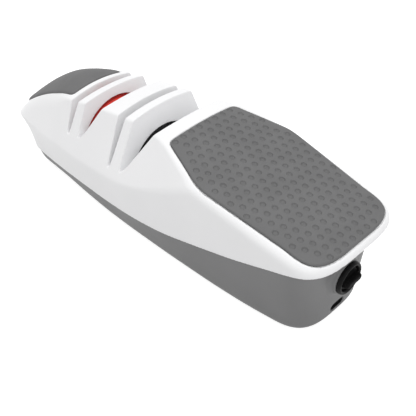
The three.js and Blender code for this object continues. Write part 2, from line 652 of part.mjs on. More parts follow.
function chargeTongue() {
  const end = portStart + port.length - port.back - clearance / 3;
  const half = port.tongueThickness / 2;
  return block([along(end), -port.tongueWidth / 2, portHeight - half],
    [along(end - port.tongueLength), port.tongueWidth / 2, portHeight + half]);
}

function circuitBoard() {
  return block([along(board.start + board.length), -board.width / 2, boardTop - board.thickness],
    [along(board.start), board.width / 2, boardTop]);
}

// Battery

// The cells fill the room between the board and the drive frame, less a gap.
const cradleHalf = (battery.pitch + battery.diameter) / 2 + clearance + battery.cradleWall;
const cradleTop = floorTop + clearance + battery.cradleHeight;
const cellMargin = battery.cradleWall + battery.tab + 2 * clearance;
const cellStart = battery.start + cellMargin;
const cradleEnd = frameStart - battery.frameGap;
const cellEnd = cradleEnd - cellMargin;

function batteryCell(sign) {
  const radius = battery.diameter / 2;
  const capEnd = cellEnd;
  const bodyEnd = capEnd - battery.capHeight;
  const edge = battery.shoulder;
  return turned([
    [0, cellStart], [radius - edge, cellStart], [radius, cellStart + edge], [radius, bodyEnd - edge],
    [radius - edge, bodyEnd], [battery.cap / 2, bodyEnd], [battery.cap / 2, capEnd], [0, capEnd],
  ], (sign * battery.pitch) / 2, cellHeight, 24);
}

function batteryCradle() {
  const low = floorTop + clearance;
  const tray = block([along(cradleEnd), -cradleHalf, low], [along(battery.start), cradleHalf, cradleTop]);
  const [start, end] = [battery.start + battery.cradleWall, cradleEnd - battery.cradleWall];
  const radius = battery.diameter / 2 + clearance;
  const hollows = sides.map(({ sign }) =>
    rod(radius, start, end, (sign * battery.pitch) / 2, cellHeight + clearance, 24));
  return cut(tray, ...hollows);
}

function batteryTab(sign, distance) {
  const half = battery.tabWidth / 2;
  const middle = (sign * battery.pitch) / 2;
  const base = cellHeight - battery.diameter / 2 + battery.shoulder * 2;
  return block([along(distance + battery.tab), middle - half, base],
    [along(distance), middle + half, cellHeight + half]);
}

function batteryLink() {
  const start = cellStart - clearance - battery.tab;
  const reach = battery.pitch / 2 + battery.tabWidth / 2;
  const half = battery.tabWidth / 4;
  const middle = cradleTop + half + clearance;
  return block([along(start + battery.tab), -reach, middle - half], [along(start), reach, middle + half]);
}

// Motor

const motorRadius = motor.diameter / 2;
const terminalEnd = motorRear - motor.capLength - motor.terminal[2];

function motorCan() {
  const inner = motorRadius - motor.wall;
  const hole = (aside) =>
    rod(smallScrew.hole / 2, motorFront - motor.wall - overrun, motorFront + overrun, aside, height, 12);
  return turned([
    [motor.shaft / 2 + clearance, motorFront + motor.noseDepth],
    [motor.shaft / 2 + clearance, motorFront - motor.wall],
    [inner, motorFront - motor.wall],
    [inner, motorRear],
    [motorRadius, motorRear],
    [motorRadius, motorFront],
    [motor.nose / 2, motorFront],
    [motor.nose / 2, motorFront + motor.noseDepth],
  ], 0, height).subtract(join(...motorScrewPlaces().map(hole)));
}

const motorScrewPlaces = () => sides.map(({ sign }) => (sign * motor.screwPitch) / 2);

function motorEndCap() {
  const inner = motorRadius - motor.wall - clearance;
  const plug = rod(inner, motorRear - clearance, motorRear + motor.capLength / 2, 0, height);
  const disc = rod(motorRadius - clearance, motorRear - motor.capLength, motorRear - clearance / 2, 0,
    height);
  const boreStart = motorRear - motor.capLength / 2;
  const bore = rod(motor.shaft / 2 + drive.runningFit, boreStart, motorRear + motor.capLength, 0, height,
    smallRound);
  const [thickness, width] = motor.terminal;
  const tabs = sides.map(({ sign }) => {
    const middle = (sign * motor.terminalPitch) / 2;
    const low = [along(motorRear - motor.capLength + clearance), middle - thickness / 2, height - width / 2];
    return block(low, [along(terminalEnd), middle + thickness / 2, height + width / 2]);
  });
  return cut(join(disc, plug, ...tabs), bore);
}

function motorShaft() {
  const start = motorRear - motor.capLength / 2 + clearance;
  const end = motorFront + frame.bulkhead + motor.shaftReach;
  return rod(motor.shaft / 2, start, end, 0, height, smallRound);
}

function armatureMiddle() {
  return (motorRear + motor.capLength / 2 + motorFront - motor.wall) / 2;
}

function motorArmature() {
  const start = armatureMiddle() - motor.armatureLength / 2;
  return sleeve(motor.shaft / 2 + drive.keyFit, motor.armature / 2, start, start + motor.armatureLength, 0,
    height, 24);
}

function motorMagnet(sign) {
  const outer = motorRadius - motor.wall - clearance;
  const inner = outer - motor.magnet;
  const sweep = Math.PI * motor.magnetSweepShare;
  const shape = new THREE.Shape();
  shape.absarc(0, 0, outer, -sweep, sweep, false);
  shape.absarc(0, 0, inner, sweep, -sweep, true);
  const geometry = new THREE.ExtrudeGeometry(shape,
    { depth: motor.magnetLength, bevelEnabled: false, curveSegments: 10 });
  geometry.applyMatrix4(facingSide(sign));
  geometry.translate(along(armatureMiddle() + motor.magnetLength / 2), 0, height);
  return solidOf(geometry);
}

// Turns an outline's first axis to one side and its extrusion to +X.
const facingSide = (sign) => new THREE.Matrix4().set(0, 0, 1, 0, sign, 0, 0, 0, 0, sign, 0, 0, 0, 0, 0, 1);

// Shaft line

const shaftRadius = drive.shaft / 2;
const keyedBore = shaftRadius + drive.keyFit;

function shaftCoupling() {
  const whole = rod(drive.couplingDiameter / 2, couplingStart, couplingEnd, 0, height, 24);
  const motorHole = motor.shaft / 2 + drive.keyFit;
  const motorBore = rod(motorHole, couplingStart - overrun, couplingEnd, 0, height, smallRound);
  const shaftBore = rod(keyedBore, couplingMiddle(), couplingEnd + overrun, 0, height, 24);
  return cut(whole, motorBore, shaftBore);
}

const couplingMiddle = () => motorFront + frame.bulkhead + motor.shaftReach + clearance / 2;

function wheelShaft() {
  return rod(shaftRadius, couplingMiddle() + clearance / 2, shaftEnd, 0, height, 24);
}

function grindingWheel(key) {
  const radius = wheelRadius[key];
  const middle = finMiddle[key];
  const half = [[radius, wheel.rim / 2], [radius - wheel.rimDepth, wheel.rim / 2 + wheel.rimSwell],
    [radius - wheel.bevelDepth, wheel.rim / 2 + wheel.bevelSwell], [radius - wheel.hubDepth, wheelHalf],
    [keyedBore, wheelHalf]];
  const near = half.map(([r, offset]) => [r, middle - offset]).reverse();
  const far = half.map(([r, offset]) => [r, middle + offset]);
  return turned([...near, ...far], 0, height);
}

function spacer(start, end) {
  return sleeve(keyedBore, drive.spacerDiameter / 2, start, end, 0, height, 24);
}

function bush(middle) {
  const half = frame.pedestal / 2;
  const inner = shaftRadius + drive.runningFit;
  return sleeve(inner, drive.bushOuter / 2, middle - half, middle + half, 0, height, 24);
}

function shaftClip() {
  const start = rearBearing + frame.pedestal / 2 + clearance;
  return sleeve(keyedBore, drive.clipDiameter / 2, start, start + drive.clipThickness, 0, height, 24);
}

// Drive frame

const frameScrewPlaces = () => [frameStart + frame.tail / 2, frontBearing].flatMap((distance) =>
  sides.map(({ sign, name }) => ({ distance, aside: sign * (frame.halfWidth - frame.screwInset), name })));

function pedestal(middle) {
  const half = frame.pedestal / 2;
  const side = frame.pedestalWidth / 2;
  const low = [along(middle + half), -side, framePlateTop - clearance];
  const column = block(low, [along(middle - half), side, height]);
  const head = rod(side, middle - half, middle + half, 0, height);
  return join(column, head);
}

function bearingBore(middle) {
  const half = frame.pedestal / 2 + overrun;
  return rod(drive.bushOuter / 2 + drive.bushInset, middle - half, middle + half, 0, height, 24);
}

function driveFrame() {
  const plate = block([along(frameEnd), -frame.halfWidth, floorTop + frame.lift],
    [along(frameStart), frame.halfWidth, framePlateTop]);
  const wall = block([along(bulkheadStart + frame.bulkhead), -frame.bulkheadHalf, framePlateTop - clearance],
    [along(bulkheadStart), frame.bulkheadHalf, height]);
  const wallHead = rod(frame.bulkheadHalf, bulkheadStart, bulkheadStart + frame.bulkhead, 0, height);
  const [front, back] = [bulkheadStart - overrun, bulkheadStart + frame.bulkhead + overrun];
  const noseHole = rod(motor.nose / 2 + clearance, front, back, 0, height);
  const motorHoles = motorScrewPlaces().map((aside) =>
    rod(smallScrew.hole / 2, front, back, aside, height, 12));
  const screwHoles = frameScrewPlaces().map(({ distance, aside }) =>
    upright(smallScrew.hole / 2, distance, aside, 0, framePlateTop + overrun, 12));
  const whole = join(plate, wall, wallHead, pedestal(frontBearing), pedestal(rearBearing));
  return cut(whole, noseHole, ...motorHoles, bearingBore(frontBearing), bearingBore(rearBearing),
    ...screwHoles);
}

// Screws, feet and leads

function uprightScrew(sizes, place, aside, seat, length, headDown) {
  const direction = headDown ? 1 : -1;
  const headEnd = seat - direction * sizes.headHeight;
  const tip = seat + direction * length;
  const head = upright(sizes.head / 2, place, aside, Math.min(seat, headEnd), Math.max(seat, headEnd));
  const shank = upright(sizes.shank / 2, place, aside, Math.min(seat, tip) - clearance / 3,
    Math.max(seat, tip) + clearance / 3, 12);
  return join(head, shank);
}

function frameScrew({ distance, aside }) {
  const seat = framePlateTop + clearance / 3;
  return uprightScrew(smallScrew, distance, aside, seat, frame.plate + clearance / 3, false);
}

function motorScrew(aside) {
  const seat = bulkheadStart + frame.bulkhead + clearance / 3;
  const head = rod(smallScrew.head / 2, seat, seat + smallScrew.headHeight, aside, height, smallRound);
  const shank = rod(smallScrew.shank / 2, seat - smallScrew.length, seat + clearance, aside, height, 12);
  return join(head, shank);
}

function caseScrewAt(place, sign) {
  const seat = body.underside + post.headDepth - clearance / 3;
  const length = place.split + caseScrew.engage - seat;
  return uprightScrew(caseScrew, place.along, sign * place.aside, seat, length, true);
}

function rubberFoot(place, sign) {
  const top = body.underside + foot.recess - clearance / 3;
  const geometry = new THREE.LatheGeometry([
    new THREE.Vector2(0, 0), new THREE.Vector2(foot.diameter / 2 - clearance, 0),
    new THREE.Vector2(foot.diameter / 2, clearance), new THREE.Vector2(foot.diameter / 2, top),
    new THREE.Vector2(0, top), new THREE.Vector2(0, 0),
  ], round);
  geometry.rotateX(Math.PI / 2);
  geometry.translate(along(place.along), sign * place.aside, 0);
  return solidOf(geometry);
}

// A lead runs from the board up over the cradle's wall, along it and up to a motor terminal.
function motorLead(sign) {
  const radius = lead.diameter / 2;
  const start = board.start + board.length - lead.boardInset;
  const low = boardTop + clearance + radius;
  const over = cradleTop + clearance + radius;
  const aside = cradleHalf - battery.cradleWall / 2;
  const climb = battery.start - clearance - lead.diameter;
  const leave = terminalEnd - lead.drop;
  const terminalSide = motor.terminalPitch / 2 + motor.terminal[0] / 2 + clearance + radius;
  const points = [
    [start, board.width / 2 - lead.boardInset, low],
    [start + lead.diameter / 2, board.width / 2, low + lead.rise],
    [climb, aside - clearance, over + clearance / 2],
    [battery.start + lead.boardInset, aside, over + clearance / 2],
    [(battery.start + leave) / 2, aside, over],
    [leave, aside, cellHeight + battery.diameter / 2],
    [terminalEnd - motor.terminal[2] / 2, terminalSide + radius, height - lead.rise],
    [terminalEnd + motor.terminal[2] / 2, terminalSide, height],
  ].map(([distance, out, level]) => new THREE.Vector3(along(distance), sign * out, level));
  const path = new THREE.CatmullRomCurve3(points, false, "centripetal");
  const shape = new THREE.Shape().absarc(0, 0, radius, 0, 2 * Math.PI, false);
  const settings = { steps: 22, extrudePath: path, bevelEnabled: false, curveSegments: 4 };
  return solidOf(new THREE.ExtrudeGeometry(shape, settings));
}

// Materials

const plastic = (color, roughness) => new THREE.MeshStandardMaterial({ color, roughness, metalness: 0 });
const metal = (color, roughness) => new THREE.MeshStandardMaterial({ color, roughness, metalness: 1 });
const finish = {
  white: () => plastic(0xf2f2f2, 0.35),
  grey: () => plastic(0x777777, 0.5),
  rubber: () => plastic(0x707070, 0.8),
  black: () => plastic(0x161616, 0.4),
  red: () => plastic(0xc8231f, 0.5),
  grit: () => plastic(0x2a2a2a, 0.9),
  steel: () => metal(0xb8bcc0, 0.35),
  bronze: () => metal(0xb08a52, 0.45),
  green: () => plastic(0x1f5c3a, 0.5),
  wrap: () => plastic(0x2f6fb0, 0.4),
  magnet: () => plastic(0x3a3a3d, 0.7),
  lead: () => plastic(0xa02020, 0.5),
};

const part = new THREE.Group();

function add(name, solid, material) {
  const mesh = new THREE.Mesh(geometryOf(solid), material);
  mesh.name = name;
  part.add(mesh);
}

add("upper_housing", upperHousing(), finish.white());
add("lower_housing", lowerHousing(), finish.grey());
add("hand_pad", padSolid(handPadPlace), finish.rubber());
add("nose_pad", padSolid(nosePadPlace), finish.rubber());

add("switch_bezel", switchBezel(), finish.black());
add("switch_knob", switchKnob(), finish.black());
add("switch_spindle", switchSpindle(), finish.steel());
add("rotary_switch", rotarySwitch(), finish.black());

add("charge_socket", chargeSocket(), finish.steel());
add("charge_tongue", chargeTongue(), finish.black());
add("circuit_board", circuitBoard(), finish.green());

add("battery_cradle", batteryCradle(), finish.black());
for (const { sign, name } of sides) {
  add(`battery_cell_${name}`, batteryCell(sign), finish.wrap());
  add(`battery_tab_${name}`, batteryTab(sign, cellEnd + clearance), finish.steel());
}
add("battery_link", batteryLink(), finish.steel());

add("motor_can", motorCan(), finish.steel());
add("motor_end_cap", motorEndCap(), finish.black());
add("motor_armature", motorArmature(), finish.steel());
add("motor_shaft", motorShaft(), finish.steel());
for (const { sign, name } of sides) add(`motor_magnet_${name}`, motorMagnet(sign), finish.magnet());

add("shaft_coupling", shaftCoupling(), finish.black());
add("wheel_shaft", wheelShaft(), finish.steel());
add("coarse_wheel", grindingWheel("coarse"), finish.red());
add("fine_wheel", grindingWheel("fine"), finish.grit());
const bearingHalf = frame.pedestal / 2 + clearance;
const hubHalf = wheelHalf + clearance;
add("spacer_front", spacer(finMiddle.fine + hubHalf, frontBearing - bearingHalf), finish.black());
add("spacer_middle", spacer(frontBearing + bearingHalf, finMiddle.coarse - hubHalf), finish.black());
add("spacer_rear", spacer(finMiddle.coarse + hubHalf, rearBearing - bearingHalf), finish.black());
add("shaft_clip", shaftClip(), finish.steel());
add("bush_front", bush(frontBearing), finish.bronze());
add("bush_rear", bush(rearBearing), finish.bronze());

add("drive_frame", driveFrame(), finish.black());
frameScrewPlaces().forEach((place, i) => add(`frame_screw_${i + 1}`, frameScrew(place), finish.steel()));
motorScrewPlaces().forEach((aside, i) => add(`motor_screw_${i + 1}`, motorScrew(aside), finish.steel()));
for (const { sign, name } of sides) {
  for (const place of postList)
    add(`case_screw_${place.name}_${name}`, caseScrewAt(place, sign), finish.steel());
  for (const place of footList)
    add(`foot_${place.name}_${name}`, rubberFoot(place, sign), finish.rubber());
  add(`motor_lead_${name}`, motorLead(sign), finish.lead());
}

export default part;
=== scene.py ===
"""Looks of a cordless electric knife sharpener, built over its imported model.

Sizes are in millimetres and are turned into metres when a mesh is made. Distances along the body, called
u, run from the end with the knob; a is the distance from the body's middle plane and z the height over the
table.
"""

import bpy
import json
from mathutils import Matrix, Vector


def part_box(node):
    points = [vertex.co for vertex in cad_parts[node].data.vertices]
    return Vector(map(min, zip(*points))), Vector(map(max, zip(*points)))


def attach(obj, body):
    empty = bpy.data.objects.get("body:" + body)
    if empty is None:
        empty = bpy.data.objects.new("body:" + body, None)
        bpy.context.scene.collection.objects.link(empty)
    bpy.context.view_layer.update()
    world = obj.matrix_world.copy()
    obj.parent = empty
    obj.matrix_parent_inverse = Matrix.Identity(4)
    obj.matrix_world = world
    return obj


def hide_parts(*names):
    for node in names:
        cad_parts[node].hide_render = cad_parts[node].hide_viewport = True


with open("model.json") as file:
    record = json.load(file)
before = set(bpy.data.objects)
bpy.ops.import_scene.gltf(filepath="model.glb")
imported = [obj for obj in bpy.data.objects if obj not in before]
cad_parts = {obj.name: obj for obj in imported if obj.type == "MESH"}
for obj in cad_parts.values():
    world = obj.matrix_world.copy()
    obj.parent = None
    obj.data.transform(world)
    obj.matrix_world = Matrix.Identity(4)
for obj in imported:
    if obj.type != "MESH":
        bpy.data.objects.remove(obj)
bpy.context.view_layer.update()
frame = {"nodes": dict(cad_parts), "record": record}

import json
import math
from functools import partial

import bmesh
import bpy
import numpy as np
import openvdb
from mathutils import Matrix, Vector

MM = 0.001

# Sizes

LENGTH, WIDTH, HEIGHT, UNDERSIDE = 221.4, 68.8, 66.0, 1.5
NEAR_X = LENGTH / 2
HALF = WIDTH / 2
WALL, ROOF, LOWER_WALL, FLOOR = 2.2, 3.6, 2.6, 2.2
SEAM_GAP, SEAM_STEP, SEAM_OVERHANG, CHAMFER = 0.3, 0.7, 7.0, 1.4
LIP_THICKNESS, LIP_RISE, LIP_ROOT = 0.9, 1.5, 2
GAP = 0.3
# Holes run past the face that they break through, and those from below start under the table.
OVERRUN, BELOW = 2, -5

# Each level of the body: how far it stops short of the near end, how long and how square its near end is,
# and the same for the far end.
LEVEL_ENDS = {
    "underside": (9.5, 20, 3.2, 16.4, 13, 2.6),
    "lower_edge": (8, 20, 3.2, 14.9, 13, 2.6),
    "seam": (0.4, 19, 3.8, 11.8, 14, 3),
    "belt": (0, 19.5, 3.3, 0, 15, 3),
    "shoulder": (1.3, 18.5, 3.8, 3.5, 13, 3),
}
# Half widths of the levels, as [share of the length, share of the half width].
LEVEL_WIDTHS = {
    "underside": [[0, 0.64], [0.095, 0.683], [0.194, 0.741], [0.294, 0.765], [0.393, 0.767], [0.492, 0.759],
                  [0.592, 0.735], [0.691, 0.683], [0.79, 0.61], [0.89, 0.553], [1, 0.48]],
    "lower_edge": [[0, 0.686], [0.095, 0.727], [0.194, 0.785], [0.294, 0.808], [0.393, 0.811], [0.492, 0.802],
                   [0.592, 0.779], [0.691, 0.727], [0.79, 0.654], [0.89, 0.597], [1, 0.525]],
    "seam": [[0, 0.905], [0.095, 0.93], [0.194, 0.955], [0.294, 0.967], [0.393, 0.962], [0.492, 0.935],
             [0.592, 0.886], [0.691, 0.828], [0.79, 0.765], [0.89, 0.676], [1, 0.56]],
    "belt": [[0, 0.912], [0.095, 0.944], [0.194, 0.975], [0.294, 0.998], [0.343, 1], [0.393, 0.997],
             [0.492, 0.977], [0.592, 0.93], [0.691, 0.89], [0.79, 0.834], [0.89, 0.738], [1, 0.627]],
    "shoulder": [[0, 0.874], [0.095, 0.895], [0.194, 0.927], [0.284, 0.954], [0.299, 0.954], [0.323, 0.912],
                 [0.363, 0.85], [0.423, 0.725], [0.472, 0.636], [0.542, 0.578], [0.691, 0.58], [0.79, 0.584],
                 [0.89, 0.576], [1, 0.545]],
}
# Heights along the body, as [share of the length, share of the height]; the crown is how far the middle of
# the top stands over the shoulders.
SEAM_HEIGHT = [[0, 0.67], [0.025, 0.665], [0.095, 0.602], [0.194, 0.5], [0.294, 0.409], [0.393, 0.321],
               [0.492, 0.259], [0.592, 0.218], [0.691, 0.194], [0.79, 0.174], [0.89, 0.153], [1, 0.141]]
BELT_HEIGHT = [[0, 0.686], [0.095, 0.745], [0.194, 0.806], [0.294, 0.868], [0.308, 0.872], [0.323, 0.856],
               [0.363, 0.776], [0.423, 0.667], [0.492, 0.567], [0.542, 0.512], [0.592, 0.482], [0.691, 0.448],
               [0.79, 0.43], [0.89, 0.403], [1, 0.386]]
SHOULDER_HEIGHT = [[0, 0.72], [0.095, 0.779], [0.194, 0.839], [0.294, 0.899], [0.393, 0.958], [0.429, 0.977],
                   [0.462, 0.972], [0.492, 0.964], [0.542, 0.952], [0.592, 0.93], [0.641, 0.904],
                   [0.691, 0.872], [0.741, 0.833], [0.768, 0.814], [0.795, 0.779], [0.827, 0.726],
                   [0.863, 0.667], [0.903, 0.592], [0.944, 0.508], [0.971, 0.45], [1, 0.398]]
CROWN = [[0, 0.012], [0.294, 0.015], [0.42, 0.023], [0.537, 0.033], [0.705, 0.03], [0.745, 0.035],
         [0.768, 0.045], [0.795, 0.085], [0.827, 0.118], [0.863, 0.126], [0.903, 0.115], [0.944, 0.089],
         [0.971, 0.064], [1, 0.045]]
# How soft the long edges are, as [share of the length, millimetres], and the shells' other edges.
BELT_SOFTNESS = [[0, 2], [0.28, 2.2], [0.33, 1.6], [0.42, 1], [0.5, 0.7], [0.6, 0.6], [0.9, 0.6], [1, 0.8]]
RIM_SOFTNESS = [[0, 3.8], [0.28, 3.6], [0.36, 2.2], [0.44, 1], [0.76, 1], [0.82, 2.5], [1, 2.2]]
SOFT = {"cut": 0.3, "lip": 0.3, "seam": 0.35, "arch": 0.4, "slot": 0.5, "recess": 0.5, "port": 0.7,
        "seat": 0.8, "pocket": 0.9, "pad": 0.9, "underside": 1.0, "chamfer": 1.6, "seat_root": 3.0}

# The knife slots: each stage has a wide slot before its fin and a narrow groove behind it. FIN is the fin's
# thickness. The heel and the knee of the wide slot are (distance before the fin, height over the floor), and
# its near wall leans by degrees. The groove has a width at its top and on its floor, the lean of its near
# wall and the drop of its floor.
FINE_FIN = LENGTH * 0.5438
COARSE_FIN = FINE_FIN + LENGTH * 0.1603
FINS = {"fine": FINE_FIN, "coarse": COARSE_FIN}
FIN, HEEL, KNEE = 5.4, (3, 2.6), (4.6, 4.8)
SLOT_FLOOR = {"fine": 38.2, "coarse": 39.2}
SLOT_LEAN = {"fine": 29.4, "coarse": 28.1}
GROOVE_TOP, GROOVE_FLOOR, GROOVE_LEAN, GROOVE_DROP = 5.3, 1.6, 2.1, 1.6
SLOT_BACKING, SLOT_OVERRUN = 1.6, 4.0
# The radius at each point of a slot's outline.
WIDE_SLOT_ROUNDS, GROOVE_ROUNDS = (0, 3, 2, 0.8, 0), (0, 0.5, 0.5, 0.5, 0)

# The wheels, and the arches over them, by radius.
SHAFT_HEIGHT = 31.0
ARCH = {"fine": 20.6, "coarse": 21.8}
WHEEL_HALF, ARCH_SIDE, WHEEL_GAP = 5.0, 0.8, 0.6
# Half of a wheel's section, as (depth from the rim, half thickness), and its bore, as (radius, half
# thickness).
WHEEL_SECTION = [(0, 0.9), (0.06, 1.3), (0.25, 1.62), (0.6, 1.86), (2.3, 2.26), (2.8, 2.6), (4, 4),
                 (4.6, 4.26), (7.8, 4.96), (8.2, 5)]
WHEEL_BORE = [(3.5, 5), (3.2, 4.7)]

# The pads: where they start and end, half widths, how long and how square their round end is, and the radius
# at each of their other corners.
HAND_PAD = {"start": 2.8, "kink": LENGTH * 0.2986, "end": LENGTH * 0.4259, "start_half": 28.4,
            "kink_half": 31.8, "end_half": 21.8, "round": 18, "square": 3.7, "corners": (0, 5, 3, 0)}
NOSE_PAD = {"start": COARSE_FIN + 14.1, "end": LENGTH - 5.6, "start_half": 16.6, "end_half": 16.3,
            "round": 9, "square": 4, "corners": (0, 2, 0)}
PAD_THICKNESS, PAD_PROUD, POCKET_DEPTH, POCKET_GAP = 1.4, 0.25, 1.25, 0.2
DIMPLE_PITCH, DIMPLE_START, DIMPLE_SHIFT = 5.25, 5.6, 1.1
DIMPLE_RADIUS, DIMPLE_WALL, DIMPLE_DEPTH, DIMPLE_MARGIN = 1.5, 0.4, 0.55, 1.9

# The seat in the near end, its ring, as (radius, distance from the near end), and the dial: a disc with a
# dish, a bar of a depth, a length and a thickness, and a sleeve for the spindle.
KNOB_HEIGHT = 25.7
SEAT, SEAT_FRONT, SEAT_BACK = 8.9, 5.7, 9.3
SPIGOT, SPIGOT_HOLE = 7.4, 12.6
BEZEL_PROFILE = [(6.45, 9.4), (6.45, 4.9), (6.52, 4.3), (6.7, 3.85), (7, 3.52), (7.35, 3.42), (7.7, 3.5),
                 (8, 3.75), (8.2, 4.15), (8.3, 4.7), (8.3, 5.4), (7.4, 5.4), (7.4, 10.4), (3.5, 10.4),
                 (3.5, 9.4)]
DISC, DISC_FRONT, DISC_THICKNESS = 6.1, 4.7, 1.8
DISH, DISH_DEPTH = 5.4, 0.35
BAR, BAR_TAPER, BAR_ROOT = (3.5, 11.6, 3.8), 0.08, 1
SLEEVE = {"radius": 3.2, "middle": 0.4, "half": 1.2, "bore": 2.7, "bore_end": 0.8}
DIAL_SOFT = {"rim": 0.8, "back": 0.4, "bar": 1.6, "bar_front": 0.9, "bar_foot": 0.8, "bore": 0.15}

# The charging socket, its tongue and the contacts on the tongue.
PORT = {"width": 8.9, "height": 3.2, "length": 7.4, "skin": 0.35, "start": 8.3, "z": 6.9, "margin": 0.4,
        "flare": 0.12, "flare_depth": 0.5, "open": 4, "back": 1.2, "soft": 0.12}
TONGUE = {"half_thickness": 0.27, "half_width": 3.35, "middle": 3.8, "half_length": 2.3, "soft": 0.3}
CONTACT = {"rise": 0.08, "pitch": 0.5, "shift": 0.25, "steepness": 4, "reach": 2.9}

# Screw posts with their holes, and the drive frame, behind which the last posts stand.
POST_RADIUS, PILOT_RADIUS, PILOT_DEPTH, HEAD_HOLE, HEAD_DEPTH, SHANK_HOLE = 3.4, 1.2, 9, 2.7, 2.4, 1.5
FRAME_FRONT, FRAME_TAIL, PEDESTAL_HALF, POST_GAP = 12, 5.4, 2.5, 1.2
REAR_BEARING = COARSE_FIN + FIN / 2 + WHEEL_HALF + 2 * GAP + FRAME_FRONT - PEDESTAL_HALF
# Posts as (distance, distance aside, height of the split), and feet as (distance, distance aside).
POSTS = [(18.5, 17.8, 24), (LENGTH * 0.4584, 21.2, 16),
         (REAR_BEARING + PEDESTAL_HALF + FRAME_TAIL + POST_RADIUS + POST_GAP, 11.5, 12)]
FEET = {"near": (LENGTH * 0.14, 15), "far": (LENGTH * 0.777, 9)}
FOOT_RADIUS, FOOT_RECESS = 4.5, 0.8
# A foot's section, as (radius, height), with a ring pressed into its face.
FOOT_PROFILE = [(0, 0), (2.1, 0), (2.25, 0.1), (2.3, 0.3), (2.9, 0.3), (2.95, 0.1), (3.1, 0), (4, 0),
                (4.3, 0.08), (4.45, 0.24), (4.5, 0.5), (4.5, 2.2), (0, 2.2)]
# Screws: the head's radius and height and the shank's radius of the two kinds, then what they share. The
# cross is as long as a share of the head's radius and as deep as a share of its height.
CASE_SCREW = {"head": 2.4, "head_height": 1.8, "shank": 1.1}
SMALL_SCREW = {"head": 2, "head_height": 1.3, "shank": 0.9}
DOME, CROSS_ARM, CROSS_LENGTH, CROSS_TAPER, CROSS_DEPTH = 0.3, 0.34, 0.6, 0.2, 0.62
THREAD_PITCH, THREAD_DEPTH, SHANK_ROOT = 0.8, 0.2, 0.4
POINT_RADIUS, POINT_SLOPE, POINT_LEAN = 0.25, 0.6, 1.17
SCREW_SOFT = {"head": 0.3, "cross": 0.12, "neck": 0.15}

# How finely outlines are drawn, how much of an edge one rounded corner takes at most, and how finely the
# distances to outlines are tabled.
SIDE_POINTS, CORNER_POINTS, END_POINTS, LONGEST_ROUND = 60, 5, 24, 0.45
PLAN_MARGIN, PLAN_STEP = 6, 0.5
SIDE_VIEW, SIDE_STEP = ((100, 30), (180, HEIGHT + 3)), 0.25
# Keeps what is looked up inside a table's last cell.
LAST_CELL = 1.001
# Slopes are differences over 1 mm, this far to both sides.
SLOPE_REACH = 0.5
# A distance to no dimple, and a length that is safe to divide by.
FAR_AWAY, TINY = 99.0, 1e-9
# Meshes: the cells kept round a piece's box, the least squared slope that a step divides by, and the angle
# from which an edge is sharp; then the soft edges of the nodes that stay.
RIM_CELLS, LEAST_SLOPE, SHARP_ANGLE = 3, 0.25, 32
EDGE = {"width": 0.12, "segments": 2, "angle": 40}


# Curves and distances

def follow(table, share):
    """A smooth curve through a table, with no overshoot."""
    places, values = np.array(table, float).T
    slopes = np.diff(values) / np.diff(places)
    before, after = slopes[:-1], slopes[1:]
    same_way = before * after > 0
    middle = np.where(same_way, 2 * before * after / np.where(same_way, before + after, 1), 0)
    tangents = np.concatenate([slopes[:1], middle, slopes[-1:]])
    at = np.clip(share, places[0], places[-1])
    i = np.clip(np.searchsorted(places, at) - 1, 0, len(slopes) - 1)
    step = places[i + 1] - places[i]
    t = (at - places[i]) / step
    start, end = values[i], values[i + 1]
    bend = (1 - t) ** 2 * (start + t * (2 * start + step * tangents[i]))
    return bend + t ** 2 * (end + (1 - t) * (2 * end - step * tangents[i + 1]))


def height_at(table, u):
    return HEIGHT * follow(table, u / LENGTH)


def half_width(level, u):
    return HALF * follow(LEVEL_WIDTHS[level], u / LENGTH)


def smooth_max(first, second, softness):
    """The larger of two distances, with the edge between them rounded."""
    near = np.maximum(softness - np.abs(first - second), 0) / softness
    return np.maximum(first, second) + near * near * softness / 4


def smooth_cut(solid, hole, softness=SOFT["cut"]):
    return smooth_max(solid, -hole, softness)


def smooth_join(first, second, softness):
    return -smooth_max(-first, -second, softness)


def slanted(low, low_z, high, high_z, z):
    """Distance to a wall that leans from one level's outline to another's."""
    slope = (high - low) / (high_z - low_z)
    return (low + slope * (z - low_z)) / np.sqrt(1 + slope * slope)


def span(place, low, high):
    """Distance to what lies between two places, below zero there."""
    return np.abs(place - (low + high) / 2) - (high - low) / 2


def cylinder_along(a, z, u, radius, start, end, height):
    """Distance to a cylinder that lies along the body in its middle plane."""
    return np.maximum(np.hypot(a, z - height) - radius, span(u, start, end))


def upright(u, a, z, along, aside, radius, low, high):
    """Distance to an upright cylinder."""
    return np.maximum(np.hypot(u - along, a - aside) - radius, span(z, low, high))


def polygon_distance(x, y, polygon):
    """Signed distance from points to a closed polygon, below zero inside it."""
    nearest = np.full(np.broadcast(x, y).shape, np.inf)
    inside = np.zeros(nearest.shape, bool)
    for (ax, ay), (bx, by) in zip(polygon, np.roll(polygon, -1, axis=0)):
        dx, dy = bx - ax, by - ay
        length = dx * dx + dy * dy
        if length == 0:
            continue
        share = np.clip(((x - ax) * dx + (y - ay) * dy) / length, 0, 1)
        nearest = np.minimum(nearest, (x - ax - share * dx) ** 2 + (y - ay - share * dy) ** 2)
        if dy:
            crosses = (y >= min(ay, by)) & (y < max(ay, by))
            inside ^= crosses & (x < ax + (y - ay) * dx / dy)
    return np.where(inside, -1, 1) * np.sqrt(nearest)


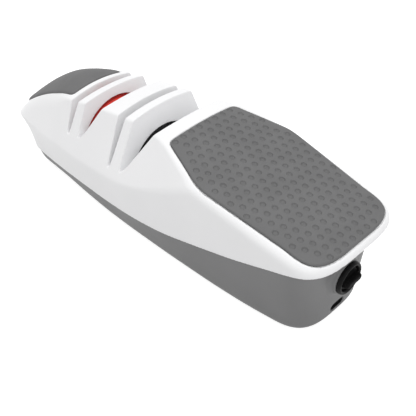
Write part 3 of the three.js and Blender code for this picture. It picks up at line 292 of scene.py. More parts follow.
def lookup(polygons, low, high, step):
    """A quick way to ask for the distance to the nearest of some polygons, inside a rectangle."""
    first = np.arange(low[0], high[0] + step, step)[:, None]
    second = np.arange(low[1], high[1] + step, step)[None, :]
    values = np.minimum.reduce([polygon_distance(first, second, polygon) for polygon in polygons])

    def at(p, q):
        i = np.clip((p - low[0]) / step, 0, values.shape[0] - LAST_CELL)
        j = np.clip((q - low[1]) / step, 0, values.shape[1] - LAST_CELL)
        i0, j0 = i.astype(int), j.astype(int)
        s, t = i - i0, j - j0
        near = values[i0, j0] * (1 - t) + values[i0, j0 + 1] * t
        far = values[i0 + 1, j0] * (1 - t) + values[i0 + 1, j0 + 1] * t
        return near * (1 - s) + far * s
    return at


# Outlines

def soften(points, radii):
    """An open outline with a rounded corner at each point that has a radius."""
    points = np.array(points, float)
    out = []
    for i, (point, radius) in enumerate(zip(points, radii)):
        if radius == 0 or i in (0, len(points) - 1):
            out.append(point)
            continue
        back, ahead = points[i - 1] - point, points[i + 1] - point
        back_length, ahead_length = np.linalg.norm(back), np.linalg.norm(ahead)
        reach = min(radius, back_length * LONGEST_ROUND, ahead_length * LONGEST_ROUND)
        start, end = point + back * reach / back_length, point + ahead * reach / ahead_length
        for t in np.linspace(0, 1, CORNER_POINTS):
            out.append((1 - t) ** 2 * start + 2 * t * (1 - t) * point + t * t * end)
    return np.array(out)


def superellipse(reach, half, square):
    """A rounded end: distances in from its tip and half widths."""
    angle = np.linspace(0, math.pi / 2, END_POINTS)
    return reach * (1 - np.cos(angle) ** (2 / square)), half * np.sin(angle) ** (2 / square)


def level_outline(level, near_extra=0.0):
    """The half outline of a level, from its near tip to its far tip."""
    near, near_round, near_square, far, far_round, far_square = LEVEL_ENDS[level]
    near_in, near_share = superellipse(near_round, 1, near_square)
    far_in, far_share = superellipse(far_round, 1, far_square)
    near_u, far_u = near + near_extra + near_in, LENGTH - far - far_in
    side_u = np.linspace(near_u[-1], far_u[-1], SIDE_POINTS)[1:-1]
    u = np.concatenate([near_u, side_u, far_u[::-1]])
    share = np.concatenate([near_share, np.ones(len(side_u)), far_share[::-1]])
    return np.column_stack([u, half_width(level, u) * share])


def hand_pad_outline():
    pad = HAND_PAD
    inward, half = superellipse(pad["round"], pad["start_half"], pad["square"])
    near = np.column_stack([pad["start"] + inward, half])
    corners = [near[-1], (pad["kink"], pad["kink_half"]), (pad["end"], pad["end_half"]), (pad["end"], 0)]
    return np.concatenate([near[:-1], soften(corners, pad["corners"])])


def nose_pad_outline():
    pad = NOSE_PAD
    inward, half = superellipse(pad["round"], pad["end_half"], pad["square"])
    far = np.column_stack([pad["end"] - inward, half])[::-1]
    corners = [(pad["start"], 0), (pad["start"], pad["start_half"]), far[0]]
    return np.concatenate([soften(corners, pad["corners"]), far[1:]])


def plan_lookup(outline):
    """Distances to a half outline and its mirror image, seen from above."""
    whole = np.concatenate([outline, outline[::-1] * (1, -1)])
    return lookup([whole], (-PLAN_MARGIN, 0), (LENGTH + PLAN_MARGIN, HALF + PLAN_MARGIN), PLAN_STEP)


def wide_slot_outline(key, grow=0.0):
    """A wide slot's side view, from the top of its leaning wall down to its floor and up the fin."""
    fin, floor, top = FINS[key], SLOT_FLOOR[key], HEIGHT + SLOT_OVERRUN
    knee_z = floor + KNEE[1]
    run = (top - knee_z) * math.tan(math.radians(SLOT_LEAN[key]))
    return [(fin - KNEE[0] - run - grow, top), (fin - KNEE[0] - grow, knee_z - grow / 2),
            (fin - HEEL[0] - grow / 2, floor + HEEL[1] - grow), (fin, floor - grow), (fin, top)]


def groove_outline(key, grow=0.0):
    """The side view of the narrow groove behind a fin."""
    fin, top = FINS[key], HEIGHT + SLOT_OVERRUN
    crest = float(height_at(SHOULDER_HEIGHT, fin + FIN))
    floor = SLOT_FLOOR[key] - GROOVE_DROP / 2
    rise = (top - floor) / (crest - floor)
    near_foot = fin + FIN + GROOVE_LEAN
    far_foot = near_foot + GROOVE_FLOOR
    return [(near_foot - GROOVE_LEAN * rise, top), (near_foot, floor - grow),
            ((near_foot + far_foot) / 2, floor - GROOVE_DROP / 2 - grow), (far_foot + grow, floor - grow),
            (far_foot + grow + (GROOVE_TOP - GROOVE_LEAN - GROOVE_FLOOR) * rise, top)]


def backing_outline(key):
    """A slot, its fin and its groove in one, grown by the wall that stays under them."""
    return np.array(wide_slot_outline(key, SLOT_BACKING)[:4] + groove_outline(key, SLOT_BACKING)[3:])


PLANS = {name: plan_lookup(level_outline(name)) for name in LEVEL_ENDS}
PLANS["lower_seam"] = plan_lookup(level_outline("seam", SEAM_OVERHANG))
PADS = {"hand": plan_lookup(hand_pad_outline()), "nose": plan_lookup(nose_pad_outline())}
SLOT_OUTLINES = ((wide_slot_outline, WIDE_SLOT_ROUNDS), (groove_outline, GROOVE_ROUNDS))
SLOTS = lookup([soften(outline(key), rounds) for key in FINS for outline, rounds in SLOT_OUTLINES],
               *SIDE_VIEW, SIDE_STEP)
BACKING = lookup([backing_outline(key) for key in FINS], *SIDE_VIEW, SIDE_STEP)


# Housings and pads

def top_height(u, a):
    share = a / half_width("shoulder", u)
    return height_at(SHOULDER_HEIGHT, u) + height_at(CROWN, u) * (1 - share * share)


def above_top(u, a, z):
    """Distance above the body's top surface."""
    along = top_height(u + SLOPE_REACH, a) - top_height(u - SLOPE_REACH, a)
    aside = top_height(u, a + SLOPE_REACH) - top_height(u, a - SLOPE_REACH)
    return (z - top_height(u, a)) / np.sqrt(1 + along * along + aside * aside)


def seam_lean(u):
    """How much longer the sloping seam is than its run along the body."""
    slope = height_at(SEAM_HEIGHT, u + SLOPE_REACH) - height_at(SEAM_HEIGHT, u - SLOPE_REACH)
    return np.sqrt(1 + slope ** 2)


def wheel_well(key, u, a, z):
    middle = FINS[key] + FIN / 2
    half = WHEEL_HALF + ARCH_SIDE
    return cylinder_along(a, z, u, ARCH[key], middle - half, middle + half, SHAFT_HEIGHT)


def upper_shell_field(x, y, z):
    """The white housing: its outside, the slots, arches and pockets, the room inside and the screw posts."""
    u, a = NEAR_X - x, np.abs(y)
    seam_z, belt_z = height_at(SEAM_HEIGHT, u), height_at(BELT_HEIGHT, u)
    shoulder_z = height_at(SHOULDER_HEIGHT, u)
    wall = slanted(PLANS["seam"](u, a), seam_z, PLANS["belt"](u, a), belt_z, z)
    facet = slanted(PLANS["belt"](u, a), belt_z, PLANS["shoulder"](u, a), shoulder_z, z)
    top = above_top(u, a, z)
    sides = smooth_max(wall, facet, follow(BELT_SOFTNESS, u / LENGTH))
    solid = smooth_max(sides, top, follow(RIM_SOFTNESS, u / LENGTH))
    solid = smooth_cut(solid, SLOTS(u, z), SOFT["slot"])
    for key in FINS:
        solid = smooth_cut(solid, wheel_well(key, u, a, z), SOFT["arch"])
    for pad in PADS.values():
        pocket = np.maximum(pad(u, a) - POCKET_GAP, -top - POCKET_DEPTH)
        solid = smooth_cut(solid, pocket, SOFT["pocket"])
    room = np.maximum(np.maximum(sides, PLANS["lower_seam"](u, a)) + WALL, top + ROOF)
    room = np.maximum(room, -BACKING(u, z))
    for along, aside, split in POSTS:
        room = np.maximum(room, -upright(u, a, z, along, aside, POST_RADIUS, split + GAP, HEIGHT))
    solid = smooth_cut(solid, room)
    for along, aside, split in POSTS:
        pilot = upright(u, a, z, along, aside, PILOT_RADIUS, split - OVERRUN, split + PILOT_DEPTH)
        solid = smooth_cut(solid, pilot)
    return smooth_max(solid, (seam_z - z) / seam_lean(u), SOFT["seam"])


def port_field(u, a, z, grow, start, end):
    """A length of the socket's rounded slot, grown on all sides."""
    half_across, half_height = PORT["width"] / 2 + grow, PORT["height"] / 2 + grow
    across = np.hypot(np.maximum(a - half_across + half_height, 0), z - PORT["z"]) - half_height
    return np.maximum(across, span(u, start, end))


def lower_shell_field(x, y, z):
    """The grey housing: its outside with the lip, the room inside, the switch's seat and the holes."""
    u, a = NEAR_X - x, np.abs(y)
    seam_z = height_at(SEAM_HEIGHT, u)
    seat_z = seam_z - SEAM_GAP
    floor_z = UNDERSIDE + FLOOR
    under, edge, seam = PLANS["underside"](u, a), PLANS["lower_edge"](u, a), PLANS["lower_seam"](u, a)
    chamfer = slanted(under, UNDERSIDE, edge, UNDERSIDE + CHAMFER, z)
    wall = slanted(edge, UNDERSIDE + CHAMFER, seam + SEAM_STEP, seat_z, z)
    solid = smooth_max(smooth_max(wall, chamfer, SOFT["chamfer"]), UNDERSIDE - z, SOFT["underside"])
    solid = smooth_max(solid, (z - seat_z) / seam_lean(u), SOFT["seam"])
    lip_inset = WALL + GAP
    lip = np.maximum(np.abs(seam + lip_inset + LIP_THICKNESS / 2) - LIP_THICKNESS / 2, z - seam_z - LIP_RISE)
    solid = smooth_join(solid, np.maximum(lip, seat_z - LIP_ROOT - z), SOFT["lip"])
    room = slanted(under + LOWER_WALL, floor_z, seam + lip_inset + LIP_THICKNESS, seat_z, z)
    room = np.maximum(room, floor_z - z)
    room = np.maximum(room, -cylinder_along(a, z, u, SEAT, SEAT_FRONT, SEAT_BACK, KNOB_HEIGHT))
    for along, aside, split in POSTS:
        room = np.maximum(room, -upright(u, a, z, along, aside, POST_RADIUS, 0, split))
    solid = smooth_cut(solid, room)
    seat = np.hypot(a, z - KNOB_HEIGHT) - SEAT
    seat = smooth_max(seat, np.maximum(SEAT_FRONT - u, u - SEAT_BACK), SOFT["seat"])
    solid = smooth_join(solid, seat, SOFT["seat_root"])
    solid = smooth_cut(solid, cylinder_along(a, z, u, SPIGOT + GAP, 0, SPIGOT_HOLE, KNOB_HEIGHT))
    port = port_field(u, a, z, PORT["margin"], 0, PORT["start"] + PORT["length"])
    solid = smooth_cut(solid, port, SOFT["port"])
    for along, aside, split in POSTS:
        solid = smooth_cut(solid, upright(u, a, z, along, aside, SHANK_HOLE, BELOW, split + OVERRUN))
        head_hole = upright(u, a, z, along, aside, HEAD_HOLE, BELOW, UNDERSIDE + HEAD_DEPTH)
        solid = smooth_cut(solid, head_hole, SOFT["recess"])
    for along, aside in FEET.values():
        recess = upright(u, a, z, along, aside, FOOT_RADIUS + GAP, BELOW, UNDERSIDE + FOOT_RECESS)
        solid = smooth_cut(solid, recess, SOFT["recess"])
    return solid


def dimples(u, y):
    """Depth of the flat-bottomed dimples, which stand in a hexagonal pattern."""
    row_pitch = DIMPLE_PITCH * math.sqrt(3) / 2
    nearest = np.full(np.broadcast(u, y).shape, FAR_AWAY)
    row = np.round((u - DIMPLE_START) / row_pitch)
    for shift in (-1, 0, 1):
        this = row + shift
        offset = DIMPLE_SHIFT + np.where(this % 2 == 0, DIMPLE_PITCH / 2, 0)
        middle_y = np.round((y - offset) / DIMPLE_PITCH) * DIMPLE_PITCH + offset
        middle_u = DIMPLE_START + this * row_pitch
        kept = PADS["hand"](middle_u, np.abs(middle_y)) < -DIMPLE_MARGIN
        nearest = np.where(kept, np.minimum(nearest, np.hypot(u - middle_u, y - middle_y)), nearest)
    share = np.clip((DIMPLE_RADIUS - nearest) / DIMPLE_WALL, 0, 1)
    return DIMPLE_DEPTH * share * share * (3 - 2 * share)


def pad_field(key, x, y, z):
    """A grip pad, which follows the top surface and stands a little proud of it."""
    u, a = NEAR_X - x, np.abs(y)
    plain = above_top(u, a, z) - PAD_PROUD
    top = plain + dimples(u, y) if key == "hand" else plain
    return np.maximum(smooth_max(PADS[key](u, a), top, SOFT["pad"]), -(plain + PAD_THICKNESS))


# Knob and socket

def knob_field(x, y, z):
    """The dial: a round face with a finger bar across it, and a sleeve for the spindle behind."""
    u, rise = NEAR_X - x, z - KNOB_HEIGHT
    away = np.hypot(y, rise)
    back = DISC_FRONT + DISC_THICKNESS
    dished = DISC_FRONT + DISH_DEPTH * np.clip(1 - (away / DISH) ** 2, 0, 1)
    disc = smooth_max(smooth_max(away - DISC, dished - u, DIAL_SOFT["rim"]), u - back, DIAL_SOFT["back"])
    depth, length, thick = BAR
    taper = BAR_TAPER * (DISC_FRONT - u)
    bar = smooth_max(np.abs(rise) - thick / 2 + taper, np.abs(y) - length / 2 + 2 * taper, DIAL_SOFT["bar"])
    bar = smooth_max(bar, DISC_FRONT - depth - u, DIAL_SOFT["bar_front"])
    bar = np.maximum(bar, u - DISC_FRONT - BAR_ROOT)
    solid = smooth_join(disc, bar, DIAL_SOFT["bar_foot"])
    sleeve = np.maximum(away - SLEEVE["radius"], np.abs(u - back - SLEEVE["middle"]) - SLEEVE["half"])
    bore = np.maximum(away - SLEEVE["bore"], back - SLEEVE["bore_end"] - u)
    return smooth_cut(np.minimum(solid, sleeve), bore, DIAL_SOFT["bore"])


def socket_field(x, y, z):
    """The charging socket's shell, with a flared mouth and a wall at its back."""
    u, a = NEAR_X - x, np.abs(y)
    start, end = PORT["start"], PORT["start"] + PORT["length"]
    flare = PORT["flare"] * np.clip(1 - (u - start) / PORT["flare_depth"], 0, 1)
    outer = port_field(u, a, z, 0, start, end)
    inner = port_field(u, a, z, flare - PORT["skin"], start - PORT["open"], end - PORT["back"])
    return smooth_cut(outer, inner, PORT["soft"])


def tongue_field(x, y, z):
    """The socket's tongue, with the ribs of its contacts on both faces."""
    u, rise = NEAR_X - x, np.abs(z - PORT["z"])
    wave = np.cos(2 * math.pi * (y + CONTACT["shift"]) / CONTACT["pitch"])
    ribs = np.clip(0.5 + CONTACT["steepness"] * wave, 0, 1) * (np.abs(y) < CONTACT["reach"])
    faces = rise - TONGUE["half_thickness"] - CONTACT["rise"] * ribs
    ends = np.abs(u - PORT["start"] - TONGUE["middle"]) - TONGUE["half_length"]
    body = smooth_max(faces, np.abs(y) - TONGUE["half_width"], TONGUE["soft"])
    return smooth_max(body, ends, TONGUE["soft"])


# Meshes

def linked(name, data):
    """A new object with this data, in the scene."""
    made = bpy.data.objects.new(name, data)
    bpy.context.scene.collection.objects.link(made)
    return made


def vectors(items, what):
    """A vector of each item of a mesh, such as the places of its vertices."""
    values = np.empty(len(items) * 3)
    items.foreach_get(what, values)
    return values.reshape(-1, 3)


def gradient(field, points, reach):
    x, y, z = points.T
    return np.column_stack([field(x + reach, y, z) - field(x - reach, y, z),
                            field(x, y + reach, z) - field(x, y - reach, z),
                            field(x, y, z + reach) - field(x, y, z - reach)]) / (2 * reach)


def settle(field, points, step):
    """Moves points onto the surface where the field is zero, in two rounds."""
    reach = step / 2
    for _ in range(2):
        x, y, z = points.T
        value = field(x, y, z)
        slope = np.column_stack([field(x + reach, y, z), field(x, y + reach, z), field(x, y, z + reach)])
        slope = (slope - value[:, None]) / reach
        move = slope * (value / np.maximum((slope ** 2).sum(1), LEAST_SLOPE))[:, None]
        length = np.linalg.norm(move, axis=1)[:, None]
        points = points - move * np.minimum(1, step / np.maximum(length, TINY))
    return points


def field_mesh(name, field, low, high, step, faces):
    """A piece whose surface is where a field of signed distances is zero; low to high is its box."""
    margin = RIM_CELLS * step
    axes = [np.arange(lo - margin, hi + margin, step) for lo, hi in zip(low, high)]
    x, y, z = axes[0][:, None, None], axes[1][None, :, None], axes[2][None, None, :]
    grid = openvdb.FloatGrid(margin)
    grid.copyFromArray(np.ascontiguousarray(field(x, y, z), np.float32))
    points, triangles, quads = grid.convertToPolygons(0.0, 0.0)
    start = np.array([axis[0] for axis in axes])
    points = settle(field, points.astype(float) * step + start, step)
    mesh = bpy.data.meshes.new(name)
    mesh.from_pydata((points * MM).tolist(), [], triangles.tolist() + quads.tolist())
    piece = linked(name, mesh)
    count = len(triangles) + 2 * len(quads)
    if count > faces:
        thinner = piece.modifiers.new("thinner", "DECIMATE")
        thinner.ratio = faces / count
        bpy.context.view_layer.update()
        slim = bpy.data.meshes.new_from_object(piece.evaluated_get(bpy.context.evaluated_depsgraph_get()))
        piece.modifiers.clear()
        piece.data = slim
        bpy.data.meshes.remove(mesh)
        slim.name = name
        mesh = slim
    points = settle(field, vectors(mesh.vertices, "co") / MM, step)
    mesh.vertices.foreach_set("co", (points * MM).ravel())
    mesh.polygons.foreach_set("use_smooth", np.ones(len(mesh.polygons), bool))
    normals = gradient(field, points, step / 2)
    normals /= np.maximum(np.linalg.norm(normals, axis=1), TINY)[:, None]
    mesh.update()
    if (vectors(mesh.vertex_normals, "vector") * normals).sum() < 0:
        mesh.flip_normals()
    mesh.normals_split_custom_set_from_vertices(normals.tolist())
    return piece


def finished(name, made):
    """A piece from a bmesh, shaded smooth with sharp edges where its faces bend."""
    bmesh.ops.recalc_face_normals(made, faces=made.faces)
    mesh = bpy.data.meshes.new(name)
    made.to_mesh(mesh)
    made.free()
    mesh.polygons.foreach_set("use_smooth", np.ones(len(mesh.polygons), bool))
    mesh.set_sharp_from_angle(angle=math.radians(SHARP_ANGLE))
    return linked(name, mesh)


def about_x(height):
    """Turning about a line along X: a profile's points are (radius, distance from the near end)."""
    return lambda radius, u, turn: (NEAR_X - u, radius * math.cos(turn), height + radius * math.sin(turn))


def about_z(u, aside):
    """Turning about an upright line: a profile's points are (radius, height)."""
    return lambda radius, z, turn: (NEAR_X - u + radius * math.cos(turn), aside + radius * math.sin(turn), z)


def turned(name, profile, spot, segments):
    """A turned body, from a closed loop of (radius, place along the axis)."""
    made = bmesh.new()
    loops = []
    for radius, along in profile:
        turns = [0] if radius == 0 else [2 * math.pi * k / segments for k in range(segments)]
        ring = [made.verts.new(Vector(spot(radius, along, turn)) * MM) for turn in turns]
        loops.append(ring * (segments // len(ring)))
    for near, far in zip(loops, loops[1:] + loops[:1]):
        for k in range(segments):
            corners = dict.fromkeys((near[k], near[(k + 1) % segments], far[(k + 1) % segments], far[k]))
            if len(corners) > 2:
                made.faces.new(corners)
    return finished(name, made)


# Materials

def material(name, color, second, roughness, blotch, grain, depth, metallic=0.0, coat=0.0, shine=0.5):
    """Two close colours mixed by a soft noise, a roughness that wanders a little, and a fine grain as bump.
    blotch and grain are the sizes of a blotch and a grain in millimetres, and depth is the grain's depth."""
    made = bpy.data.materials.new(name)
    made.use_nodes = True
    made.diffuse_color = (*color, 1)
    nodes, links = made.node_tree.nodes, made.node_tree.links
    shader = nodes["Principled BSDF"]
    shader.inputs["Metallic"].default_value = metallic
    shader.inputs["Coat Weight"].default_value = coat
    shader.inputs["Specular IOR Level"].default_value = shine
    shader.inputs["Coat Roughness"].default_value = 0.15
    where = nodes.new("ShaderNodeTexCoord").outputs["Object"]
    blotches = nodes.new("ShaderNodeTexNoise")
    blotches.inputs["Scale"].default_value = 1 / (blotch * MM)
    blotches.inputs["Detail"].default_value = 3
    links.new(where, blotches.inputs["Vector"])
    ramp = nodes.new("ShaderNodeValToRGB")
    ramp.color_ramp.elements[0].position, ramp.color_ramp.elements[1].position = 0.35, 0.65
    ramp.color_ramp.elements[0].color, ramp.color_ramp.elements[1].color = (*color, 1), (*second, 1)
    links.new(blotches.outputs["Fac"], ramp.inputs["Fac"])
    links.new(ramp.outputs["Color"], shader.inputs["Base Color"])
    gloss = nodes.new("ShaderNodeMapRange")
    spread = 0.06
    gloss.inputs["To Min"].default_value = max(roughness - spread, 0.02)
    gloss.inputs["To Max"].default_value = min(roughness + spread, 1)
    links.new(blotches.outputs["Fac"], gloss.inputs["Value"])
    links.new(gloss.outputs["Result"], shader.inputs["Roughness"])
    grains = nodes.new("ShaderNodeTexNoise")
    grains.inputs["Scale"].default_value = 1 / (grain * MM)
    grains.inputs["Detail"].default_value = 2
    links.new(where, grains.inputs["Vector"])
    bump = nodes.new("ShaderNodeBump")
    bump.inputs["Distance"].default_value = depth * MM
    bump.inputs["Strength"].default_value = 1
    links.new(grains.outputs["Fac"], bump.inputs["Height"])
    links.new(bump.outputs["Normal"], shader.inputs["Normal"])
    return made


def grit(name, color, sparkle, roughness, key, rim_painted_shade):
    """Bonded abrasive: angular grains of differing brightness, with painted shade darkening a band at the
    rim, where the fin's arch shades the wheel.
    """
    darker = [channel * 0.8 for channel in color]
    made = material(name, color, darker, roughness, blotch=3, grain=0.2, depth=0.02, shine=0.2)
    nodes, links = made.node_tree.nodes, made.node_tree.links
    shader, bump = nodes["Principled BSDF"], nodes["Bump"]
    where = nodes["Texture Coordinate"].outputs["Object"]
    cell_size, cell_depth = 0.28, 0.06
    cells = nodes.new("ShaderNodeTexVoronoi")
    cells.inputs["Scale"].default_value = 1 / (cell_size * MM)
    links.new(where, cells.inputs["Vector"])
    pick = nodes.new("ShaderNodeValToRGB")
    pick.color_ramp.elements[0].position, pick.color_ramp.elements[1].position = 0.45, 0.9
    pick.color_ramp.elements[0].color, pick.color_ramp.elements[1].color = (*color, 1), (*sparkle, 1)
    links.new(cells.outputs["Color"], pick.inputs["Fac"])
    centred = nodes.new("ShaderNodeVectorMath")
    centred.operation = "SUBTRACT"
    centred.inputs[1].default_value = (0, 0, SHAFT_HEIGHT * MM)
    links.new(where, centred.inputs[0])
    flat = nodes.new("ShaderNodeVectorMath")
    flat.operation = "MULTIPLY"
    flat.inputs[1].default_value = (0, 1, 1)
    links.new(centred.outputs[0], flat.inputs[0])
    away = nodes.new("ShaderNodeVectorMath")
    away.operation = "LENGTH"
    links.new(flat.outputs[0], away.inputs[0])
    # Painted shade: the colour is multiplied down in a band just inside the rim, standing in for the shade
    # under the fin's arch.
    rim_radius, band_start, band_end = ARCH[key] - WHEEL_GAP, 1.8, 1.3
    band = nodes.new("ShaderNodeMapRange")
    band.inputs["From Min"].default_value = (rim_radius - band_start) * MM
    band.inputs["From Max"].default_value = (rim_radius - band_end) * MM
    links.new(away.outputs["Value"], band.inputs["Value"])
    shaded = nodes.new("ShaderNodeMix")
    shaded.data_type, shaded.blend_type = "RGBA", "MULTIPLY"
    shaded.inputs["B"].default_value = (*rim_painted_shade, 1)
    links.new(band.outputs["Result"], shaded.inputs["Factor"])
    links.new(pick.outputs["Color"], shaded.inputs["A"])
    links.new(shaded.outputs["Result"], shader.inputs["Base Color"])
    bump.inputs["Distance"].default_value = cell_depth * MM
    links.new(cells.outputs["Distance"], bump.inputs["Height"])
    return made


def grey(value):
    """A grey with a trace of blue."""
    return (value, value, value * 1.01)


# Plain looks: two colours, the roughness, a blotch's size, a grain's size and its depth, and then what else
# there is to say.
LOOKS = {
    "white_plastic": (grey(0.88), grey(0.865), 0.36, 40, 0.6, 0.003, {}),
    "grey_plastic": (grey(0.158), grey(0.15), 0.5, 30, 0.25, 0.012, {}),
    "grip_rubber": (grey(0.136), grey(0.126), 0.66, 12, 0.22, 0.03, {}),
    "foot_rubber": (grey(0.07), grey(0.055), 0.75, 6, 0.2, 0.03, {}),
    "black_plastic": (grey(0.004), grey(0.007), 0.46, 8, 0.3, 0.008, {"shine": 0.1}),
    "dial_black": (grey(0.003), grey(0.005), 0.58, 8, 0.3, 0.01, {"shine": 0.05}),
    "board": ((0.01, 0.12, 0.05), (0.015, 0.2, 0.08), 0.35, 2.5, 0.4, 0.02, {"coat": 0.3}),
    "cell_wrap": ((0.03, 0.13, 0.4), (0.04, 0.17, 0.48), 0.32, 9, 1.5, 0.02, {"coat": 0.2}),
    "bronze": ((0.42, 0.26, 0.1), (0.34, 0.2, 0.08), 0.5, 1.2, 0.15, 0.02, {"metallic": 1.0}),
    "magnet": (grey(0.035), grey(0.055), 0.7, 2, 0.2, 0.03, {}),
    "lead_cover": ((0.4, 0.015, 0.012), (0.34, 0.012, 0.01), 0.45, 4, 0.5, 0.01, {}),
    # The socket shell's steel is darkened nearly to black as painted shade, for the darkness deep inside the
    # socket.
    "steel_in_painted_shade": (grey(0.012), grey(0.008), 0.5, 2, 0.12, 0.006, {"metallic": 0.3, "shine": 0.1}),
    "steel": (grey(0.55), grey(0.48), 0.32, 3, 0.12, 0.006, {"metallic": 1.0}),
}
MATERIALS = {name: material(name, *look, **more) for name, (*look, more) in LOOKS.items()}
# Each wheel's last colour is the painted shade multiplied into the band at its rim.
MATERIALS["red_abrasive"] = grit("red_abrasive", (0.78, 0.04, 0.027), (0.88, 0.09, 0.06), 0.6, "coarse",
                                 (0.42, 0.24, 0.24))
MATERIALS["dark_abrasive"] = grit("dark_abrasive", (0.005, 0.005, 0.006), (0.03, 0.03, 0.032), 0.7, "fine",
                                  (0.8, 0.8, 0.8))


# Pieces

def box_of(node):
    low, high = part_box(node)
    return [value / MM for value in low], [value / MM for value in high]


def place(piece, body, slot, *nodes, look=None):
    """Puts a piece on its body, in the place of its nodes, with its slot's material or a look of its own."""
    piece.data.materials.clear()
    piece.data.materials.append(MATERIALS[look or slot])
    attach(piece, body)
    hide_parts(*nodes)


def field_piece(name, field, body, slot, node, step, faces, look=None, box=None):
    low, high = box or box_of(node)
    place(field_mesh(name, field, low, high, step, faces), body, slot, node, look=look)


def screw(name, node, axis, head_low, head, head_height, shank):
    """A self-tapping screw in its node's place: a domed head with a cross recess, a thread and a point."""
    low, high = box_of(node)
    across = [k for k in range(3) if k != axis]
    middle = [(low[k] + high[k]) / 2 for k in across]
    length = high[axis] - low[axis]

    def field(*point):
        t = point[axis] - low[axis] if head_low else high[axis] - point[axis]
        p, q = (point[k] - m for k, m in zip(across, middle))
        away = np.hypot(p, q)
        cap = smooth_max(away - head, np.maximum(DOME * (away / head) ** 2 - t, t - head_height),
                         SCREW_SOFT["head"])
        arms = np.minimum(np.maximum(np.abs(p) - CROSS_ARM, np.abs(q) - CROSS_LENGTH * head),
                          np.maximum(np.abs(q) - CROSS_ARM, np.abs(p) - CROSS_LENGTH * head))
        cross = np.maximum(arms + CROSS_TAPER * t, t - CROSS_DEPTH * head_height)
        turns = t / THREAD_PITCH + np.arctan2(q, p) / (2 * math.pi)
        thread = THREAD_DEPTH * np.abs(2 * (turns % 1) - 1)
        pin = np.maximum(away - shank + thread, np.maximum(head_height - SHANK_ROOT - t, t - length))
        pin = np.maximum(pin, (away - POINT_RADIUS + POINT_SLOPE * (t - length)) / POINT_LEAN)
        return smooth_join(smooth_cut(cap, cross, SCREW_SOFT["cross"]), pin, SCREW_SOFT["neck"])
    field_piece(name, field, "housing", "steel", node, step=0.13, faces=7000)


field_piece("upper_shell", upper_shell_field, "housing", "white_plastic", "upper_housing", step=0.55,
            faces=190000)
field_piece("lower_shell", lower_shell_field, "housing", "grey_plastic", "lower_housing", step=0.55,
            faces=150000)
for key, faces in (("hand", 120000), ("nose", 30000)):
    field_piece(f"{key}_grip", partial(pad_field, key), "housing", "grip_rubber", f"{key}_pad", step=0.4,
                faces=faces)

bezel = turned("bezel_ring", BEZEL_PROFILE, about_x(KNOB_HEIGHT), segments=96)
place(bezel, "housing", "black_plastic", "switch_bezel")
# The dial's bar stands out past the box of its node.
low, high = box_of("switch_knob")
bar_front = NEAR_X - DISC_FRONT + BAR[0]
field_piece("knob_dial", knob_field, "knob", "black_plastic", "switch_knob", step=0.16, faces=30000,
            look="dial_black", box=(low, (bar_front, *high[1:])))
# The shell takes the near-black steel: painted shade for the dark inside of the socket.
field_piece("socket_shell", socket_field, "housing", "steel", "charge_socket", step=0.11, faces=24000,
            look="steel_in_painted_shade")
field_piece("socket_tongue", tongue_field, "housing", "black_plastic", "charge_tongue", step=0.08,
            faces=16000)

for key, slot in (("fine", "dark_abrasive"), ("coarse", "red_abrasive")):
    middle, radius = FINS[key] + FIN / 2, ARCH[key] - WHEEL_GAP
    half = [(radius - depth, side) for depth, side in WHEEL_SECTION] + WHEEL_BORE
    rings = [(r, middle - side) for r, side in reversed(half)] + [(r, middle + side) for r, side in half]
    disc = turned(f"{key}_disc", rings, about_x(SHAFT_HEIGHT), segments=160)
    place(disc, "rotor", slot, f"{key}_wheel")

for end, (along, aside) in FEET.items():
    for sign, side in ((-1, "left"), (1, "right")):
        foot = turned(f"foot_pad_{end}_{side}", FOOT_PROFILE, about_z(along, sign * aside), segments=64)
        place(foot, "housing", "foot_rubber", f"foot_{end}_{side}")

for end in ("near", "middle", "far"):
    for side in ("left", "right"):
        screw(f"case_fixing_{end}_{side}", f"case_screw_{end}_{side}", axis=2, head_low=True, **CASE_SCREW)
for k in range(1, 5):
    screw(f"frame_fixing_{k}", f"frame_screw_{k}", axis=2, head_low=False, **SMALL_SCREW)
for k in range(1, 3):
    screw(f"motor_fixing_{k}", f"motor_screw_{k}", axis=0, head_low=True, **SMALL_SCREW)

# The nodes that stay, such as the battery and the motor, take their slot's material and softer edges.
slot_of = {part["node"]: part["material_slot"] for part in frame["record"]["subparts"]}
for node, piece in frame["nodes"].items():
    piece.data.materials.clear()
    piece.data.materials.append(MATERIALS[slot_of[node]])
    soft = piece.modifiers.new("soft_edges", "BEVEL")
    soft.width, soft.segments = EDGE["width"] * MM, EDGE["segments"]
    soft.limit_method, soft.angle_limit = "ANGLE", math.radians(EDGE["angle"])

# Camera, light and floor

# The focal length and the frame are in pixels, the sensor and the place in millimetres.
CAMERA = {"focal": 775, "frame": 416, "sensor": 36, "azimuth": 42.222, "tilt": 39.576, "roll": 1.582,
          "place": (223.2, -222.2, 264.4)}
TARGET = (0, 0, 30)
WORLD_STRENGTH, FLOOR_SHADE, FLOOR_LIFT = 0.82, 0.54, 0.8
WHITE = (1, 1, 1, 1)


def add_camera():
    azimuth, tilt, roll = (math.radians(CAMERA[key]) for key in ("azimuth", "tilt", "roll"))
    right = Vector((math.cos(azimuth), math.sin(azimuth), 0))
    back = Vector((math.sin(azimuth) * math.cos(tilt), -math.cos(azimuth) * math.cos(tilt), math.sin(tilt)))
    up = back.cross(right)
    rolled_right = right * math.cos(roll) + up * math.sin(roll)
    rolled_up = up * math.cos(roll) - right * math.sin(roll)
    data = bpy.data.cameras.new("camera")
    data.sensor_width = CAMERA["sensor"]
    data.lens = CAMERA["focal"] * CAMERA["sensor"] / CAMERA["frame"]
    data.clip_start, data.clip_end = 0.01, 20
    camera = linked("camera", data)
    camera.matrix_world = Matrix.Translation(Vector(CAMERA["place"]) * MM) @ Matrix(
        (rolled_right, rolled_up, back)).transposed().to_4x4()
    bpy.context.scene.camera = camera


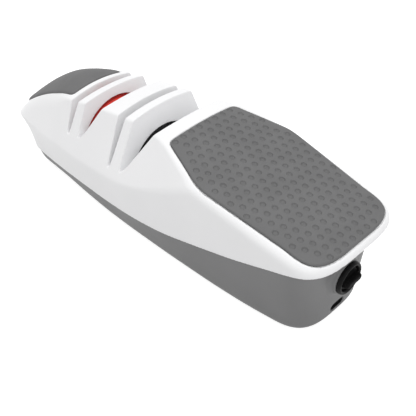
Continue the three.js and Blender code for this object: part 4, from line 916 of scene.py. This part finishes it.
def add_lamp(name, spot, size, power):
    """A round lamp that shines at the body's middle; its place and size are in millimetres."""
    data = bpy.data.lights.new(name, "AREA")
    data.shape = "DISK"
    data.size = size * MM
    data.energy = power
    lamp = linked(name, data)
    lamp.location = Vector(spot) * MM
    aim = (Vector(TARGET) - Vector(spot)).normalized()
    lamp.rotation_euler = aim.to_track_quat("-Z", "Y").to_euler()


def seen_rays(nodes, links):
    """1 for rays that show the background to the eye, in a mirror or through glass."""
    path = nodes.new("ShaderNodeLightPath")
    seen = path.outputs["Is Camera Ray"]
    for kind in ("Is Glossy Ray", "Is Transmission Ray"):
        either = nodes.new("ShaderNodeMath")
        either.operation = "MAXIMUM"
        links.new(seen, either.inputs[0])
        links.new(path.outputs[kind], either.inputs[1])
        seen = either.outputs[0]
    return seen


def add_world():
    """Soft light from all sides, and plain white where the background is seen."""
    world = bpy.data.worlds.new("studio")
    bpy.context.scene.world = world
    world.use_nodes = True
    nodes, links = world.node_tree.nodes, world.node_tree.links
    soft, white = nodes["Background"], nodes.new("ShaderNodeBackground")
    for background, strength in ((soft, WORLD_STRENGTH), (white, 1)):
        background.inputs["Color"].default_value = WHITE
        background.inputs["Strength"].default_value = strength
    mix = nodes.new("ShaderNodeMixShader")
    links.new(seen_rays(nodes, links), mix.inputs["Fac"])
    links.new(soft.outputs[0], mix.inputs[1])
    links.new(white.outputs[0], mix.inputs[2])
    links.new(mix.outputs[0], nodes["World Output"].inputs["Surface"])


def add_floor():
    """A matte floor, lifted to white where it is seen, so that only a faint shadow stays."""
    made = bmesh.new()
    bmesh.ops.create_grid(made, x_segments=8, y_segments=8, size=3)
    floor = finished("floor", made)
    white = bpy.data.materials.new("studio_floor")
    white.use_nodes = True
    nodes, links = white.node_tree.nodes, white.node_tree.links
    matte = nodes["Principled BSDF"]
    matte.inputs["Base Color"].default_value = (FLOOR_SHADE, FLOOR_SHADE, FLOOR_SHADE, 1)
    matte.inputs["Roughness"].default_value = 0.9
    glow = nodes.new("ShaderNodeEmission")
    lift = nodes.new("ShaderNodeMath")
    lift.operation = "MULTIPLY"
    lift.inputs[1].default_value = FLOOR_LIFT
    links.new(seen_rays(nodes, links), lift.inputs[0])
    links.new(lift.outputs[0], glow.inputs["Strength"])
    both = nodes.new("ShaderNodeAddShader")
    links.new(matte.outputs[0], both.inputs[0])
    links.new(glow.outputs[0], both.inputs[1])
    links.new(both.outputs[0], nodes["Material Output"].inputs["Surface"])
    floor.data.materials.append(white)


add_camera()
add_world()
add_lamp("overhead", spot=(-60, 60, 900), size=900, power=2.4)
add_lamp("front", spot=(620, -480, 560), size=700, power=1.0)
add_floor()
bpy.context.scene.view_settings.view_transform = "Standard"
